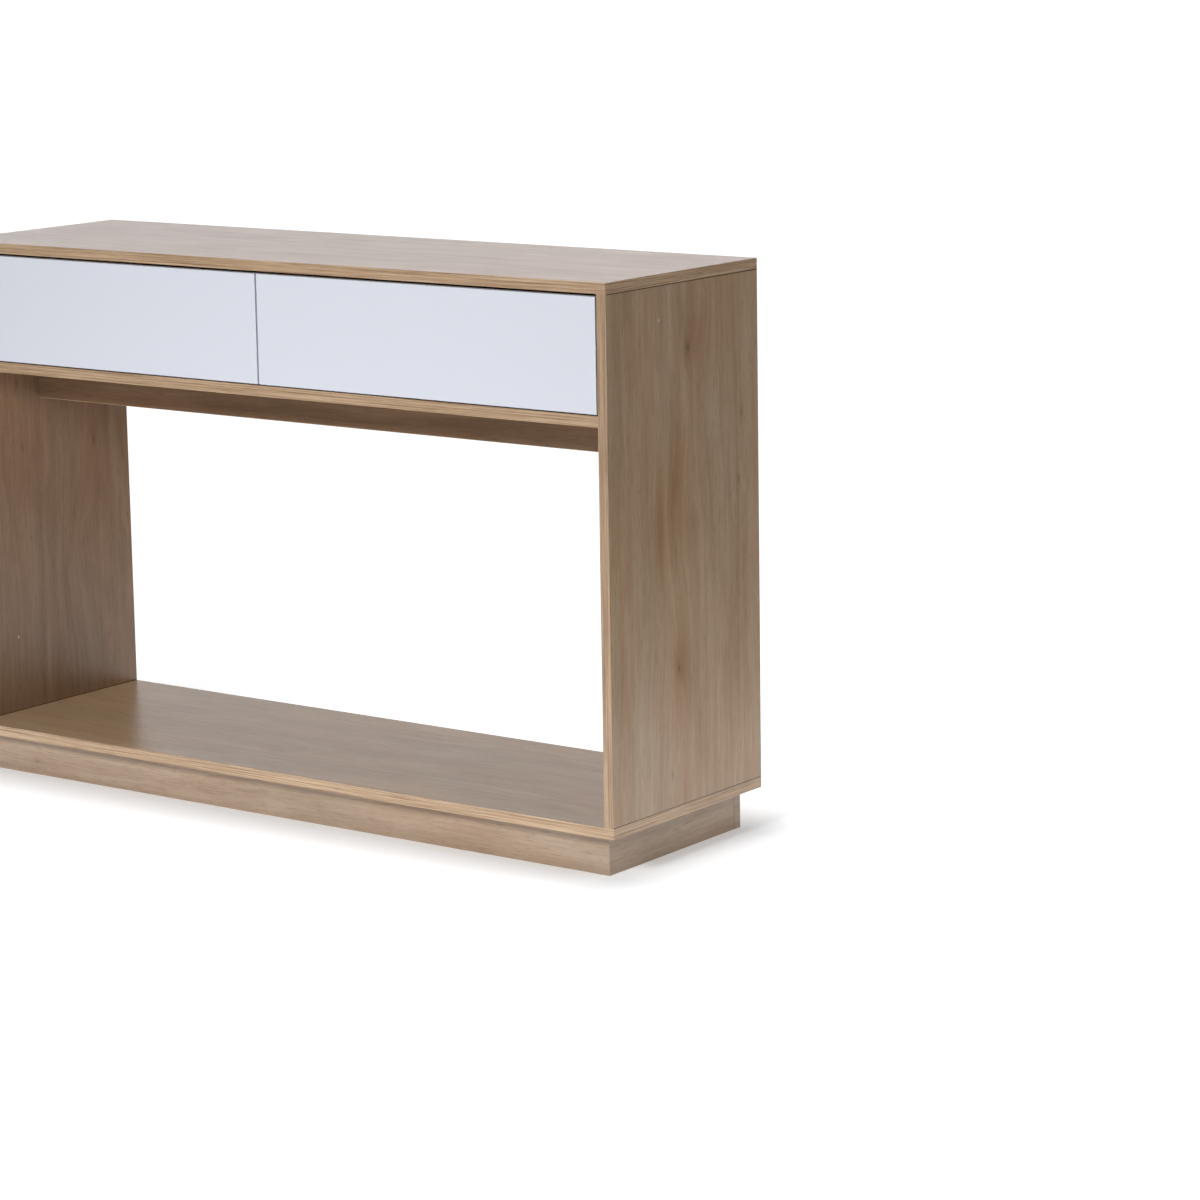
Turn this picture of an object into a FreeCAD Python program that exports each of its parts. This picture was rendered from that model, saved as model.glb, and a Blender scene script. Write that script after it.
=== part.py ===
# Console table with two handle-less drawers on ball-bearing runners.
#
# Frame: millimetres, +Z up. The origin is on the floor under the middle of the table.
# +X runs along the length, to the right as seen from the front. The front faces -Y.
#
# Every size that can be set by itself is a cell of the sheet "size". The sheet "place" works
# out the levels that pieces share. Pieces take both through expressions.

import FreeCAD
import Part
import Sketcher
import math
import os

Vector = FreeCAD.Vector
UP, DOWN = Vector(0, 0, 1), Vector(0, 0, -1)
BACKWARD, FORWARD = Vector(0, 1, 0), Vector(0, -1, 0)
RIGHTWARD, LEFTWARD = Vector(1, 0, 0), Vector(-1, 0, 0)

DOC = FreeCAD.newDocument("console_table")

SIZES = {
    # whole table
    "length": 1200,
    "depth": 350,
    "height": 800,
    "board": 15,
    "edge_band": 1,
    # plinth
    "plinth_height": 59,
    "plinth_inset": 28,
    "plinth_rear_inset": 12,
    "plinth_board": 15,
    "plinth_bevel": 1,
    "corner_block": 22,
    "corner_block_height": 30,
    # drawer bay, rail and back
    "bay_height": 160,
    "rail_height": 63,
    "rail_setback": 160,
    "divider_gap": 5,
    "back_board": 3,
    "back_setback": 10,
    "groove_depth": 6,
    "groove_slack": 0.2,
    # joints between boards
    "joint_inset": 55,
    "dowel_inset": 95,
    "dowel_width": 8,
    "dowel_short": 10,
    "dowel_long": 20,
    "dowel_slack": 0.5,
    "bore_slack": 0.1,
    "rail_dowel_spread": 20,
    "rail_dowel_pitch": 300,
    "cam_setback": 34,
    "cam_width": 15,
    "cam_under": 4.5,
    "cam_cross_depth": 1.2,
    "bolt_thread_width": 5,
    "bolt_thread_length": 11,
    "bolt_shank_width": 6,
    "bolt_head_width": 7,
    "bolt_head_length": 3,
    "bolt_head_slack": 0.3,
    "confirmat_head_width": 10,
    "confirmat_head_length": 4,
    "confirmat_shank_width": 7,
    "confirmat_thread_width": 5,
    "confirmat_length": 50,
    # small countersunk screws
    "screw_head": 6,
    "screw_width": 3.6,
    "screw_slack": 0.2,
    "runner_screw_length": 10,
    "box_screw_length": 30,
    "block_screw_length": 30,
    "block_lift_screw_length": 40,
    "latch_screw_length": 12,
    # drawers
    "front_board": 15,
    "front_top_gap": 4,
    "front_bottom_gap": 2,
    "front_side_gap": 2,
    "front_centre_gap": 3,
    "box_board": 12,
    "box_lift": 16,
    "box_top_gap": 26,
    "box_rear_gap": 4,
    "box_base": 3,
    "box_base_lift": 8,
    "box_screw_drop": 15,
    "box_screw_lift": 17,
    "box_cam_setback": 24,
    "box_cam_width": 12,
    "box_cam_under": 4,
    "box_cam_low": 30,
    "box_cam_drop": 25,
    # telescopic runners
    "runner_width": 12.7,
    "runner_height": 45,
    "runner_lift": 40,
    "runner_front_gap": 4,
    "runner_rear_gap": 18,
    "runner_sheet": 1.2,
    "race_gap": 0.15,
    "member_gap": 0.5,
    "cabinet_lip": 1.4,
    "middle_lip": 1.2,
    "outer_ball_share": 0.52,
    "inner_ball_share": 0.6,
    "cage_sheet": 0.5,
    "cage_gap": 0.25,
    "cage_length": 140,
    "ball_pitch": 30,
    "balls_each_way": 2,
    "runner_screw_end": 35,
    "runner_screw_stagger": 16,
    # push-to-open latches
    "latch_length": 50,
    "latch_width": 14,
    "latch_height": 14,
    "latch_foot_width": 36,
    "latch_foot_height": 3,
    "latch_foot_margin": 10,
    "latch_front_gap": 8,
    "latch_bore_depth": 44,
    "plunger_width": 6,
    "plunger_slack": 0.2,
    "plunger_length": 30,
    "plunger_head_width": 9,
    "plunger_head_length": 3,
    "plunger_ease": 1,
    "plunger_tip_gap": 3.5,
    "spring_width": 5,
    "spring_wire": 0.6,
    "spring_coils": 6,
    "spring_steps": 12,
    "spring_end_gap": 0.5,
}

PLACES = {
    "middle": "=0",
    # carcass levels
    "half_length": "=size.length / 2",
    "rear_face": "=size.depth / 2",
    "front_face": "=-size.depth / 2",
    "band_end": "=half_length - size.edge_band",
    "band_rear": "=rear_face - size.edge_band",
    "band_front": "=-band_rear",
    "side_inner": "=half_length - size.board",
    "side_mid": "=half_length - size.board / 2",
    "top_under": "=size.height - size.board",
    "base_top": "=size.plinth_height + size.board",
    "shelf_top": "=top_under - size.bay_height",
    "shelf_under": "=shelf_top - size.board",
    "shelf_mid": "=shelf_top - size.board / 2",
    "rail_front": "=front_face + size.rail_setback",
    "rail_rear": "=rail_front + size.board",
    "rail_mid": "=rail_front + size.board / 2",
    "rail_bottom": "=shelf_under - size.rail_height",
    "rail_band": "=rail_bottom + size.edge_band",
    "rail_bolt": "=shelf_under - size.rail_height / 2",
    "rail_dowel_low": "=rail_bolt - size.rail_dowel_spread",
    "rail_dowel_high": "=rail_bolt + size.rail_dowel_spread",
    "divider_side": "=size.board / 2",
    "front_back": "=front_face + size.front_board",
    "divider_front": "=front_back + size.divider_gap",
    "divider_band": "=divider_front + size.edge_band",
    "back_rear": "=rear_face - size.back_setback",
    "back_front": "=back_rear - size.back_board",
    "groove_front": "=back_front - size.groove_slack",
    "groove_rear": "=back_rear + size.groove_slack",
    "back_reach": "=size.groove_depth - size.groove_slack",
    "groove_end": "=side_inner + size.groove_depth",
    "back_end": "=side_inner + back_reach",
    "back_low": "=shelf_top - back_reach",
    "back_high": "=top_under + back_reach",
    "groove_low": "=shelf_top - size.groove_depth",
    # joints
    "bolt_row": "=rear_face - size.joint_inset",
    "dowel_row": "=rear_face - size.dowel_inset",
    "cam_level": "=top_under - size.cam_setback",
    "cam_column": "=side_inner - size.cam_setback",
    "cam_depth": "=size.board / 2 + size.cam_under",
    # plinth
    "plinth_side": "=half_length - size.plinth_inset",
    "plinth_front": "=front_face + size.plinth_inset",
    "plinth_rear": "=rear_face - size.plinth_rear_inset",
    "plinth_side_inner": "=plinth_side - size.plinth_board",
    "plinth_front_inner": "=plinth_front + size.plinth_board",
    "plinth_rear_inner": "=plinth_rear - size.plinth_board",
    "plinth_mid": "=size.plinth_height / 2",
    "block_column": "=plinth_side_inner - size.corner_block / 2",
    "block_front": "=plinth_front_inner + size.corner_block / 2",
    "block_rear": "=plinth_rear_inner - size.corner_block / 2",
    "block_low": "=size.plinth_height - size.corner_block_height",
    "block_inner": "=plinth_side_inner - size.corner_block",
    "block_front_inner": "=plinth_front_inner + size.corner_block",
    "block_rear_inner": "=plinth_rear_inner - size.corner_block",
    "block_screw_column": "=block_column - size.corner_block / 4",
    "block_screw_front": "=block_front + size.corner_block / 4",
    "block_screw_rear": "=block_rear - size.corner_block / 4",
    "block_screw_low": "=block_low + size.corner_block_height / 4",
    "block_screw_high": "=block_low + size.corner_block_height * 3 / 4",
    # drawer bays, for the right-hand bay
    "bay_centre": "=(side_inner + divider_side) / 2",
    "front_inner_end": "=size.front_centre_gap / 2",
    "front_outer_end": "=side_inner - size.front_side_gap",
    "front_low": "=shelf_top + size.front_bottom_gap",
    "front_high": "=top_under - size.front_top_gap",
    "runner_start": "=front_back + size.runner_front_gap",
    "runner_end": "=back_front - size.runner_rear_gap",
    "runner_length": "=runner_end - runner_start",
    "runner_level": "=box_low + size.runner_lift",
    "screw_row_front": "=runner_start + size.runner_screw_end",
    "screw_row_middle": "=(runner_start + runner_end) / 2",
    "screw_row_rear": "=runner_end - size.runner_screw_end - size.runner_screw_stagger",
    "shifted_row_front": "=screw_row_front + size.runner_screw_stagger",
    "shifted_row_middle": "=screw_row_middle + size.runner_screw_stagger",
    "shifted_row_rear": "=screw_row_rear + size.runner_screw_stagger",
    "divider_web": "=divider_side + size.runner_sheet",
    "side_web": "=side_inner - size.runner_sheet",
    "divider_drawer_web": "=box_inner_end - size.runner_sheet",
    "side_drawer_web": "=box_outer_end + size.runner_sheet",
    "box_low": "=shelf_top + size.box_lift",
    "box_high": "=top_under - size.box_top_gap",
    "box_rear": "=runner_end - size.box_rear_gap",
    "box_inner_end": "=divider_side + size.runner_width",
    "box_outer_end": "=side_inner - size.runner_width",
    "box_inner_mid": "=box_inner_end + size.box_board / 2",
    "box_outer_mid": "=box_outer_end - size.box_board / 2",
    "box_inner_face": "=box_inner_end + size.box_board",
    "box_outer_face": "=box_outer_end - size.box_board",
    "box_base_inner": "=box_inner_face - back_reach",
    "box_base_outer": "=box_outer_face + back_reach",
    "box_groove_inner": "=box_inner_face - size.groove_depth",
    "box_groove_outer": "=box_outer_face + size.groove_depth",
    "front_inner_band": "=front_inner_end + size.edge_band",
    "front_outer_band": "=front_outer_end - size.edge_band",
    "front_low_band": "=front_low + size.edge_band",
    "front_high_band": "=front_high - size.edge_band",
    "box_back_front": "=box_rear - size.box_board",
    "box_base_low": "=box_low + size.box_base_lift",
    "box_base_high": "=box_base_low + size.box_base",
    "box_groove_low": "=box_base_low - size.groove_slack",
    "box_groove_high": "=box_base_high + size.groove_slack",
    "box_base_front": "=front_back - back_reach",
    "box_cam_row": "=front_back + size.box_cam_setback",
    "box_cam_depth": "=size.box_board / 2 + size.box_cam_under",
    "box_cam_low": "=box_low + size.box_cam_low",
    "box_cam_high": "=box_high - size.box_cam_drop",
    "box_screw_row": "=box_rear - size.box_board / 2",
    "box_screw_high": "=box_high - size.box_screw_drop",
    "box_screw_low": "=runner_level + drawer_half + size.box_screw_lift",
    # runner section: distances from the cabinet wall and from the runner's centre line
    "drawer_web": "=size.runner_width - size.runner_sheet",
    "cabinet_edge": "=drawer_web - size.member_gap",
    "cabinet_lip_start": "=cabinet_edge - size.runner_sheet",
    "middle_edge": "=cabinet_edge - size.member_gap",
    "middle_lip_start": "=middle_edge - size.runner_sheet",
    "outer_cage_back": "=size.runner_sheet + size.cage_gap",
    "outer_cage_edge": "=cabinet_lip_start - size.cage_gap",
    "middle_start": "=outer_cage_back + size.cage_sheet + size.cage_gap",
    "outer_ball": "=(cabinet_lip_start - middle_start) * size.outer_ball_share",
    "outer_ball_setback": "=(middle_start + cabinet_lip_start) / 2",
    "inner_cage_back": "=middle_start + size.runner_sheet + size.cage_gap",
    "inner_cage_edge": "=middle_lip_start - size.cage_gap",
    "drawer_edge": "=inner_cage_back + size.cage_sheet + size.cage_gap",
    "inner_ball": "=(middle_lip_start - drawer_edge) * size.inner_ball_share",
    "inner_ball_setback": "=(drawer_edge + middle_lip_start) / 2",
    "cabinet_half": "=size.runner_height / 2",
    "outer_ball_level": "=cabinet_half - size.runner_sheet - size.race_gap - outer_ball / 2",
    "outer_cage_half": "=outer_ball_level + size.cage_sheet / 2",
    "middle_half": "=outer_ball_level - outer_ball / 2 - size.race_gap",
    "inner_ball_level": "=middle_half - size.runner_sheet - size.race_gap - inner_ball / 2",
    "inner_cage_half": "=inner_ball_level + size.cage_sheet / 2",
    "drawer_half": "=inner_ball_level - inner_ball / 2 - size.race_gap",
    "cage_start": "=(runner_length - size.cage_length) / 2",
    # latches
    "latch_front": "=front_back + size.latch_front_gap",
    "latch_rear": "=latch_front + size.latch_length",
    "latch_level": "=shelf_top + size.latch_height / 2",
    "plunger_tip": "=front_back + size.plunger_tip_gap",
    "plunger_end": "=plunger_tip + size.plunger_head_length + size.plunger_length",
    "latch_bore_end": "=latch_front + size.latch_bore_depth",
    "latch_screw_front": "=latch_front + size.latch_foot_margin",
    "latch_screw_rear": "=latch_rear - size.latch_foot_margin",
    "latch_roof": "=shelf_top + size.latch_height",
    "spring_start": "=plunger_end + size.spring_end_gap",
    "spring_end": "=latch_bore_end - size.spring_end_gap",
    "latch_foot_top": "=shelf_top + size.latch_foot_height",
    "latch_screw_near": "=bay_centre - (size.latch_foot_width + size.latch_width) / 4",
    "latch_screw_far": "=bay_centre + (size.latch_foot_width + size.latch_width) / 4",
}


def fill_sheet(name, cells):
    """A spreadsheet with one named cell for each entry."""
    sheet = DOC.addObject("Spreadsheet::Sheet", name)
    for row, (alias, content) in enumerate(cells.items(), start=1):
        sheet.set(f"A{row}", alias)
        sheet.set(f"B{row}", str(content))
        sheet.setAlias(f"B{row}", alias)
    return sheet


SHEETS = {"size": fill_sheet("size", SIZES), "place": fill_sheet("place", PLACES)}
DOC.recompute()


def number(text):
    """The value of a cell such as place.top_under; a minus sign in front turns it over."""
    sheet, alias = text.lstrip("-").split(".")
    value = float(getattr(SHEETS[sheet], alias))
    return -value if text.startswith("-") else value


def point_at(x, y, z):
    """A point from three cells."""
    return Vector(number(x), number(y), number(z))


def mirrored(side, text):
    """A place of the right-hand half, carried over to the half named by side."""
    return text if side == "right" else f"-{text}"


def bay_places(side, inner, outer):
    """Two places of the right-hand half as (low, high), carried over to the half named by side."""
    return (inner, outer) if side == "right" else (f"-{outer}", f"-{inner}")


def both(text):
    """A place and its mirror image."""
    return [text, f"-{text}"]


def pairs(first, second):
    """Every pair from two lists."""
    return [(u, v) for u in first for v in second]


# ---------------------------------------------------------------- sketches and features

# Each axis with the origin plane square to it, and which way along the axis that plane faces.
PLANES = {"x": ("YZ_Plane", 1), "y": ("XZ_Plane", -1), "z": ("XY_Plane", 1)}


def new_sketch(body, axis, level="0"):
    """A sketch square to the axis, at a level along it in the body's own frame."""
    role, facing = PLANES[axis]
    sketch = body.newObject("Sketcher::SketchObject", f"{body.Name}_sketch")
    plane = next(f for f in body.Origin.OriginFeatures if f.Role == role)
    sketch.AttachmentSupport = [(plane, "")]
    sketch.MapMode = "FlatFace"
    sketch.setExpression("AttachmentOffset.Base.z", level if facing > 0 else f"-({level})")
    return sketch


def tie(sketch, element, end, across, up):
    """Ties one point of a sketch element to expressions for its two coordinates."""
    for kind, text in (("DistanceX", across), ("DistanceY", up)):
        index = sketch.addConstraint(Sketcher.Constraint(kind, -1, 1, element, end, 0.0))
        sketch.setExpression(f"Constraints[{index}]", text)


def draw_outline(sketch, corners):
    """A closed outline through corners given as pairs of expressions."""
    count = len(corners)
    turns = [2 * math.pi * index / count for index in range(count)]
    start = [Vector(math.cos(turn), math.sin(turn), 0) for turn in turns]
    for index in range(count):
        sketch.addGeometry(Part.LineSegment(start[index], start[(index + 1) % count]), False)
    for index, (across, up) in enumerate(corners):
        following = (index + 1) % count
        sketch.addConstraint(Sketcher.Constraint("Coincident", index, 2, following, 1))
        tie(sketch, index, 1, across, up)


def draw_rectangle(sketch, low, high):
    """A rectangle between two corners, each a pair of expressions."""
    draw_outline(sketch, [low, (high[0], low[1]), high, (low[0], high[1])])


def draw_circles(sketch, centres, diameter):
    """Circles of one diameter at centres given as pairs of expressions."""
    for element, (across, up) in enumerate(centres):
        sketch.addGeometry(Part.Circle(Vector(element, element, 0), Vector(0, 0, 1), 1), False)
        tie(sketch, element, 3, across, up)
        index = sketch.addConstraint(Sketcher.Constraint("Diameter", element, 2.0))
        sketch.setExpression(f"Constraints[{index}]", diameter)


def add_pad(body, sketch, axis, length):
    """Pads a sketch along its axis."""
    pad = body.newObject("PartDesign::Pad", f"{body.Name}_pad")
    pad.Profile = sketch
    pad.setExpression("Length", length)
    pad.Reversed = PLANES[axis][1] < 0


def add_pocket(body, sketch, axis, toward, depth):
    """Cuts a sketch into the body; toward is +1 or -1 along the axis."""
    pocket = body.newObject("PartDesign::Pocket", f"{body.Name}_pocket")
    pocket.Profile = sketch
    pocket.setExpression("Length", depth)
    pocket.Reversed = toward * PLANES[axis][1] > 0


class Piece:
    """A piece cut from flat stock: an outline padded along one axis from its own origin.

    Points are expressions in the table's frame, and the piece turns them into its own frame.
    """

    def __init__(self, label, origin, axis, outline, thickness):
        self.origin = dict(zip("xyz", origin))
        self.body = DOC.addObject("PartDesign::Body", label)
        self.body.Label = label
        for name, text in self.origin.items():
            self.body.setExpression(f"Placement.Base.{name}", text)
        sketch = new_sketch(self.body, axis)
        draw_outline(sketch, self.own(axis, outline))
        add_pad(self.body, sketch, axis, thickness)

    def own(self, axis, points):
        """Pairs of table coordinates square to the axis, measured from the piece's origin."""
        first, second = [name for name in "xyz" if name != axis]
        return [
            (f"({u}) - ({self.origin[first]})", f"({v}) - ({self.origin[second]})")
            for u, v in points
        ]

    def sketch_at(self, axis, level):
        return new_sketch(self.body, axis, f"({level}) - ({self.origin[axis]})")

    def bore(self, axis, level, toward, depth, diameter, centres):
        """Blind round holes that start at the level and run toward +1 or -1 along the axis."""
        sketch = self.sketch_at(axis, level)
        draw_circles(sketch, self.own(axis, centres), diameter)
        add_pocket(self.body, sketch, axis, toward, depth)

    def recess(self, axis, level, toward, depth, low, high):
        """A rectangular recess between two corners."""
        sketch = self.sketch_at(axis, level)
        draw_rectangle(sketch, *self.own(axis, [low, high]))
        add_pocket(self.body, sketch, axis, toward, depth)

    def countersink(self, axis, level, toward, centres):
        """Through holes for the small screws, with their cones open at the level."""
        sketch = self.sketch_at(axis, level)
        draw_circles(sketch, self.own(axis, centres), "size.screw_width")
        DOC.recompute()
        hole = self.body.newObject("PartDesign::Hole", f"{self.body.Name}_hole")
        hole.Profile = sketch
        hole.Threaded = False
        hole.ThreadType = "None"
        hole.DepthType = "ThroughAll"
        hole.HoleCutType = "Countersink"
        hole.HoleCutCountersinkAngle = 90
        hole.setExpression("Diameter", "size.screw_width + size.screw_slack")
        hole.setExpression("HoleCutDiameter", "size.screw_head + size.screw_slack")
        hole.Reversed = toward * PLANES[axis][1] > 0
        DOC.recompute()


def board(label, low, high, axis):
    """A rectangular board between two corners, with its thickness along the axis."""
    span = dict(zip("xyz", zip(low, high)))
    (low_u, high_u), (low_v, high_v) = [span[name] for name in "xyz" if name != axis]
    outline = [(low_u, low_v), (high_u, low_v), (high_u, high_v), (low_u, high_v)]
    return Piece(label, low, axis, outline, f"({span[axis][1]}) - ({span[axis][0]})")


def strips(label, boxes):
    """A node of glued-on strips, each a box between two corners."""
    links = []
    for index, (low, high) in enumerate(boxes):
        strip = DOC.addObject("Part::Box", f"{label}_{index}")
        for size, name, start, end in zip(("Length", "Width", "Height"), "xyz", low, high):
            strip.setExpression(size, f"({end}) - ({start})")
            strip.setExpression(f"Placement.Base.{name}", start)
        links.append(strip)
    compound = DOC.addObject("Part::Compound", label)
    compound.Label = label
    compound.Links = links


def turned(name, profile):
    """A piece turned about its own Z axis from a profile of (radius, height) expressions."""
    body = DOC.addObject("PartDesign::Body", name)
    body.Label = name
    sketch = new_sketch(body, "y")
    draw_outline(sketch, profile)
    turn = body.newObject("PartDesign::Revolution", f"{name}_turn")
    turn.Profile = sketch
    turn.ReferenceAxis = (sketch, ["V_Axis"])
    turn.Angle = 360
    return body


def aimed(point, direction):
    """A placement that puts a piece's origin at the point and turns its Z along the direction."""
    return FreeCAD.Placement(point, FreeCAD.Rotation(Vector(0, 0, 1), direction))


def group(label, members):
    """A node of loose pieces that share a use: (shape, placement) pairs kept as separate solids."""
    solids = []
    for shape, placement in members:
        solid = shape.copy()
        solid.Placement = placement.multiply(shape.Placement)
        solids.append(solid)
    node = DOC.addObject("Part::Feature", label)
    node.Label = label
    node.Shape = Part.makeCompound(solids)
    node.Placement = FreeCAD.Placement()


# ---------------------------------------------------------------- carcass boards

BOLT_BORE = "size.bolt_thread_width + 2 * size.bore_slack"
BOLT_BORE_DEPTH = "size.bolt_thread_length + size.dowel_slack"
SHANK_BORE = "size.bolt_head_width + 2 * size.bore_slack"
CAM_BORE = "size.cam_width + 2 * size.bore_slack"
CAM_BORE_DEPTH = "place.cam_depth + size.bore_slack"
DOWEL_BORE = "size.dowel_width + 2 * size.bore_slack"
DOWEL_SHORT_DEPTH = "size.dowel_short + size.dowel_slack"
DOWEL_LONG_DEPTH = "size.dowel_long + size.dowel_slack"
CONFIRMAT_HEAD_BORE = "size.confirmat_head_width + 2 * size.bore_slack"
CONFIRMAT_SHANK_BORE = "size.confirmat_shank_width + 2 * size.bore_slack"
CONFIRMAT_THREAD_BORE = "size.confirmat_thread_width + 2 * size.bore_slack"
CONFIRMAT_THREAD_DEPTH = "size.confirmat_length - size.board + size.dowel_slack"
SCREW_BORE = "size.screw_width + size.screw_slack"
LATCH_SCREW_DEPTH = "size.latch_screw_length - size.latch_foot_height + size.dowel_slack"

# Where the joints lie, each as pairs of the two coordinates in their own plane.
SIDE_BOLTS = pairs(both("place.side_mid"), both("place.bolt_row"))
SIDE_DOWELS = pairs(both("place.side_mid"), both("place.dowel_row"))
DIVIDER_JOINTS = pairs(["place.middle"], both("place.dowel_row"))
SHELF_BOLTS = pairs(both("place.bolt_row"), ["place.shelf_mid"])
SHELF_DOWELS = pairs(both("place.dowel_row"), ["place.shelf_mid"])
RAIL_BOLT = [("place.rail_mid", "place.rail_bolt")]
RAIL_END_DOWELS = pairs(["place.rail_mid"], ["place.rail_dowel_low", "place.rail_dowel_high"])
RAIL_TOP_DOWELS = pairs(["place.middle", *both("size.rail_dowel_pitch")], ["place.rail_mid"])
SIDE_CAMS = pairs(both("place.bolt_row"), ["place.cam_level"])
SHELF_CAMS = pairs(both("place.cam_column"), both("place.bolt_row"))
RAIL_CAMS = pairs(both("place.cam_column"), ["place.rail_bolt"])
BRACE_DOWEL = [("place.middle", "place.plinth_mid")]
SCREW_ROWS = {
    "right": ["place.screw_row_front", "place.screw_row_middle", "place.screw_row_rear"],
    "left": ["place.shifted_row_front", "place.shifted_row_middle", "place.shifted_row_rear"],
}


def bore_for_confirmats(piece, level, centres):
    """Stepped holes for confirmat heads and shanks, up through a board from its underside."""
    piece.bore("z", level, 1, "size.confirmat_head_length", CONFIRMAT_HEAD_BORE, centres)
    piece.bore("z", level, 1, "size.board", CONFIRMAT_SHANK_BORE, centres)


def make_top_panel():
    top = board(
        "top_panel",
        ("-place.band_end", "place.band_front", "place.top_under"),
        ("place.band_end", "place.band_rear", "size.height"),
        "z",
    )
    level = "place.top_under"
    top.bore("z", level, 1, BOLT_BORE_DEPTH, BOLT_BORE, SIDE_BOLTS)
    top.bore("z", level, 1, DOWEL_SHORT_DEPTH, DOWEL_BORE, SIDE_DOWELS + DIVIDER_JOINTS)
    top.recess(
        "z", level, 1, "size.groove_depth",
        ("-place.groove_end", "place.groove_front"), ("place.groove_end", "place.groove_rear"),
    )
    make_long_edge_bands("top_panel_edge_bands", level, "size.height")


def make_bottom_panel():
    bottom = board(
        "bottom_panel",
        ("-place.band_end", "place.band_front", "size.plinth_height"),
        ("place.band_end", "place.band_rear", "place.base_top"),
        "z",
    )
    bore_for_confirmats(bottom, "size.plinth_height", SIDE_BOLTS)
    bottom.bore("z", "place.base_top", -1, DOWEL_SHORT_DEPTH, DOWEL_BORE, SIDE_DOWELS)
    bottom.bore(
        "z", "size.plinth_height", 1,
        "size.block_lift_screw_length - size.corner_block_height + size.dowel_slack", SCREW_BORE,
        pairs(both("place.block_column"), ["place.block_front", "place.block_rear"]),
    )
    make_long_edge_bands("bottom_panel_edge_bands", "size.plinth_height", "place.base_top")


def make_long_edge_bands(label, low, high):
    """Bands round the four edges of a full-length board between two levels."""
    left, right = "-place.half_length", "place.half_length"
    left_band, right_band = "-place.band_end", "place.band_end"
    strips(label, [
        ((left, "place.front_face", low), (right, "place.band_front", high)),
        ((left, "place.band_rear", low), (right, "place.rear_face", high)),
        ((left, "place.band_front", low), (left_band, "place.band_rear", high)),
        ((right_band, "place.band_front", low), (right, "place.band_rear", high)),
    ])


def make_side_panel(side):
    """A side panel with its bores, and its front and rear bands."""
    outward = 1 if side == "right" else -1
    inner = mirrored(side, "place.side_inner")
    low_x, high_x = bay_places(side, "place.side_inner", "place.half_length")
    panel = board(
        f"{side}_side_panel",
        (low_x, "place.band_front", "place.base_top"),
        (high_x, "place.band_rear", "place.top_under"),
        "x",
    )
    middle = [mirrored(side, "place.side_mid")]
    bolts = pairs(middle, both("place.bolt_row"))
    dowels = pairs(middle, both("place.dowel_row"))
    panel.bore("z", "place.top_under", -1, "size.cam_setback", SHANK_BORE, bolts)
    panel.bore("z", "place.top_under", -1, DOWEL_LONG_DEPTH, DOWEL_BORE, dowels)
    panel.bore("z", "place.base_top", 1, CONFIRMAT_THREAD_DEPTH, CONFIRMAT_THREAD_BORE, bolts)
    panel.bore("z", "place.base_top", 1, DOWEL_LONG_DEPTH, DOWEL_BORE, dowels)
    face_dowels = SHELF_DOWELS + RAIL_END_DOWELS
    runner_screws = pairs(SCREW_ROWS[side], ["place.runner_level"])
    panel.bore("x", inner, outward, CAM_BORE_DEPTH, CAM_BORE, SIDE_CAMS)
    panel.bore("x", inner, outward, BOLT_BORE_DEPTH, BOLT_BORE, SHELF_BOLTS + RAIL_BOLT)
    panel.bore("x", inner, outward, DOWEL_SHORT_DEPTH, DOWEL_BORE, face_dowels)
    panel.bore("x", inner, outward, "size.runner_screw_length", SCREW_BORE, runner_screws)
    panel.recess(
        "x", inner, outward, "size.groove_depth",
        ("place.groove_front", "place.groove_low"), ("place.groove_rear", "place.top_under"),
    )
    low, high = "place.base_top", "place.top_under"
    strips(f"{side}_side_edge_bands", [
        ((low_x, "place.front_face", low), (high_x, "place.band_front", high)),
        ((low_x, "place.band_rear", low), (high_x, "place.rear_face", high)),
    ])


def make_drawer_shelf():
    """The deck under the drawers, with its front and rear bands."""
    left, right = "-place.side_inner", "place.side_inner"
    low, high = "place.shelf_under", "place.shelf_top"
    shelf = board(
        "drawer_shelf", (left, "place.band_front", low), (right, "place.band_rear", high), "z"
    )
    for end, inward in ((right, -1), (left, 1)):
        shelf.bore("x", end, inward, "size.cam_setback", SHANK_BORE, SHELF_BOLTS)
        shelf.bore("x", end, inward, DOWEL_LONG_DEPTH, DOWEL_BORE, SHELF_DOWELS)
    latch_screws = latch_screw_places("left") + latch_screw_places("right")
    shelf.bore("z", low, 1, CAM_BORE_DEPTH, CAM_BORE, SHELF_CAMS)
    shelf.bore("z", low, 1, DOWEL_SHORT_DEPTH, DOWEL_BORE, RAIL_TOP_DOWELS)
    shelf.bore("z", high, -1, LATCH_SCREW_DEPTH, SCREW_BORE, latch_screws)
    bore_for_confirmats(shelf, low, DIVIDER_JOINTS)
    shelf.recess(
        "z", high, -1, "size.groove_depth",
        (left, "place.groove_front"), (right, "place.groove_rear"),
    )
    strips("drawer_shelf_edge_bands", [
        ((left, "place.front_face", low), (right, "place.band_front", high)),
        ((left, "place.band_rear", low), (right, "place.rear_face", high)),
    ])


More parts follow.
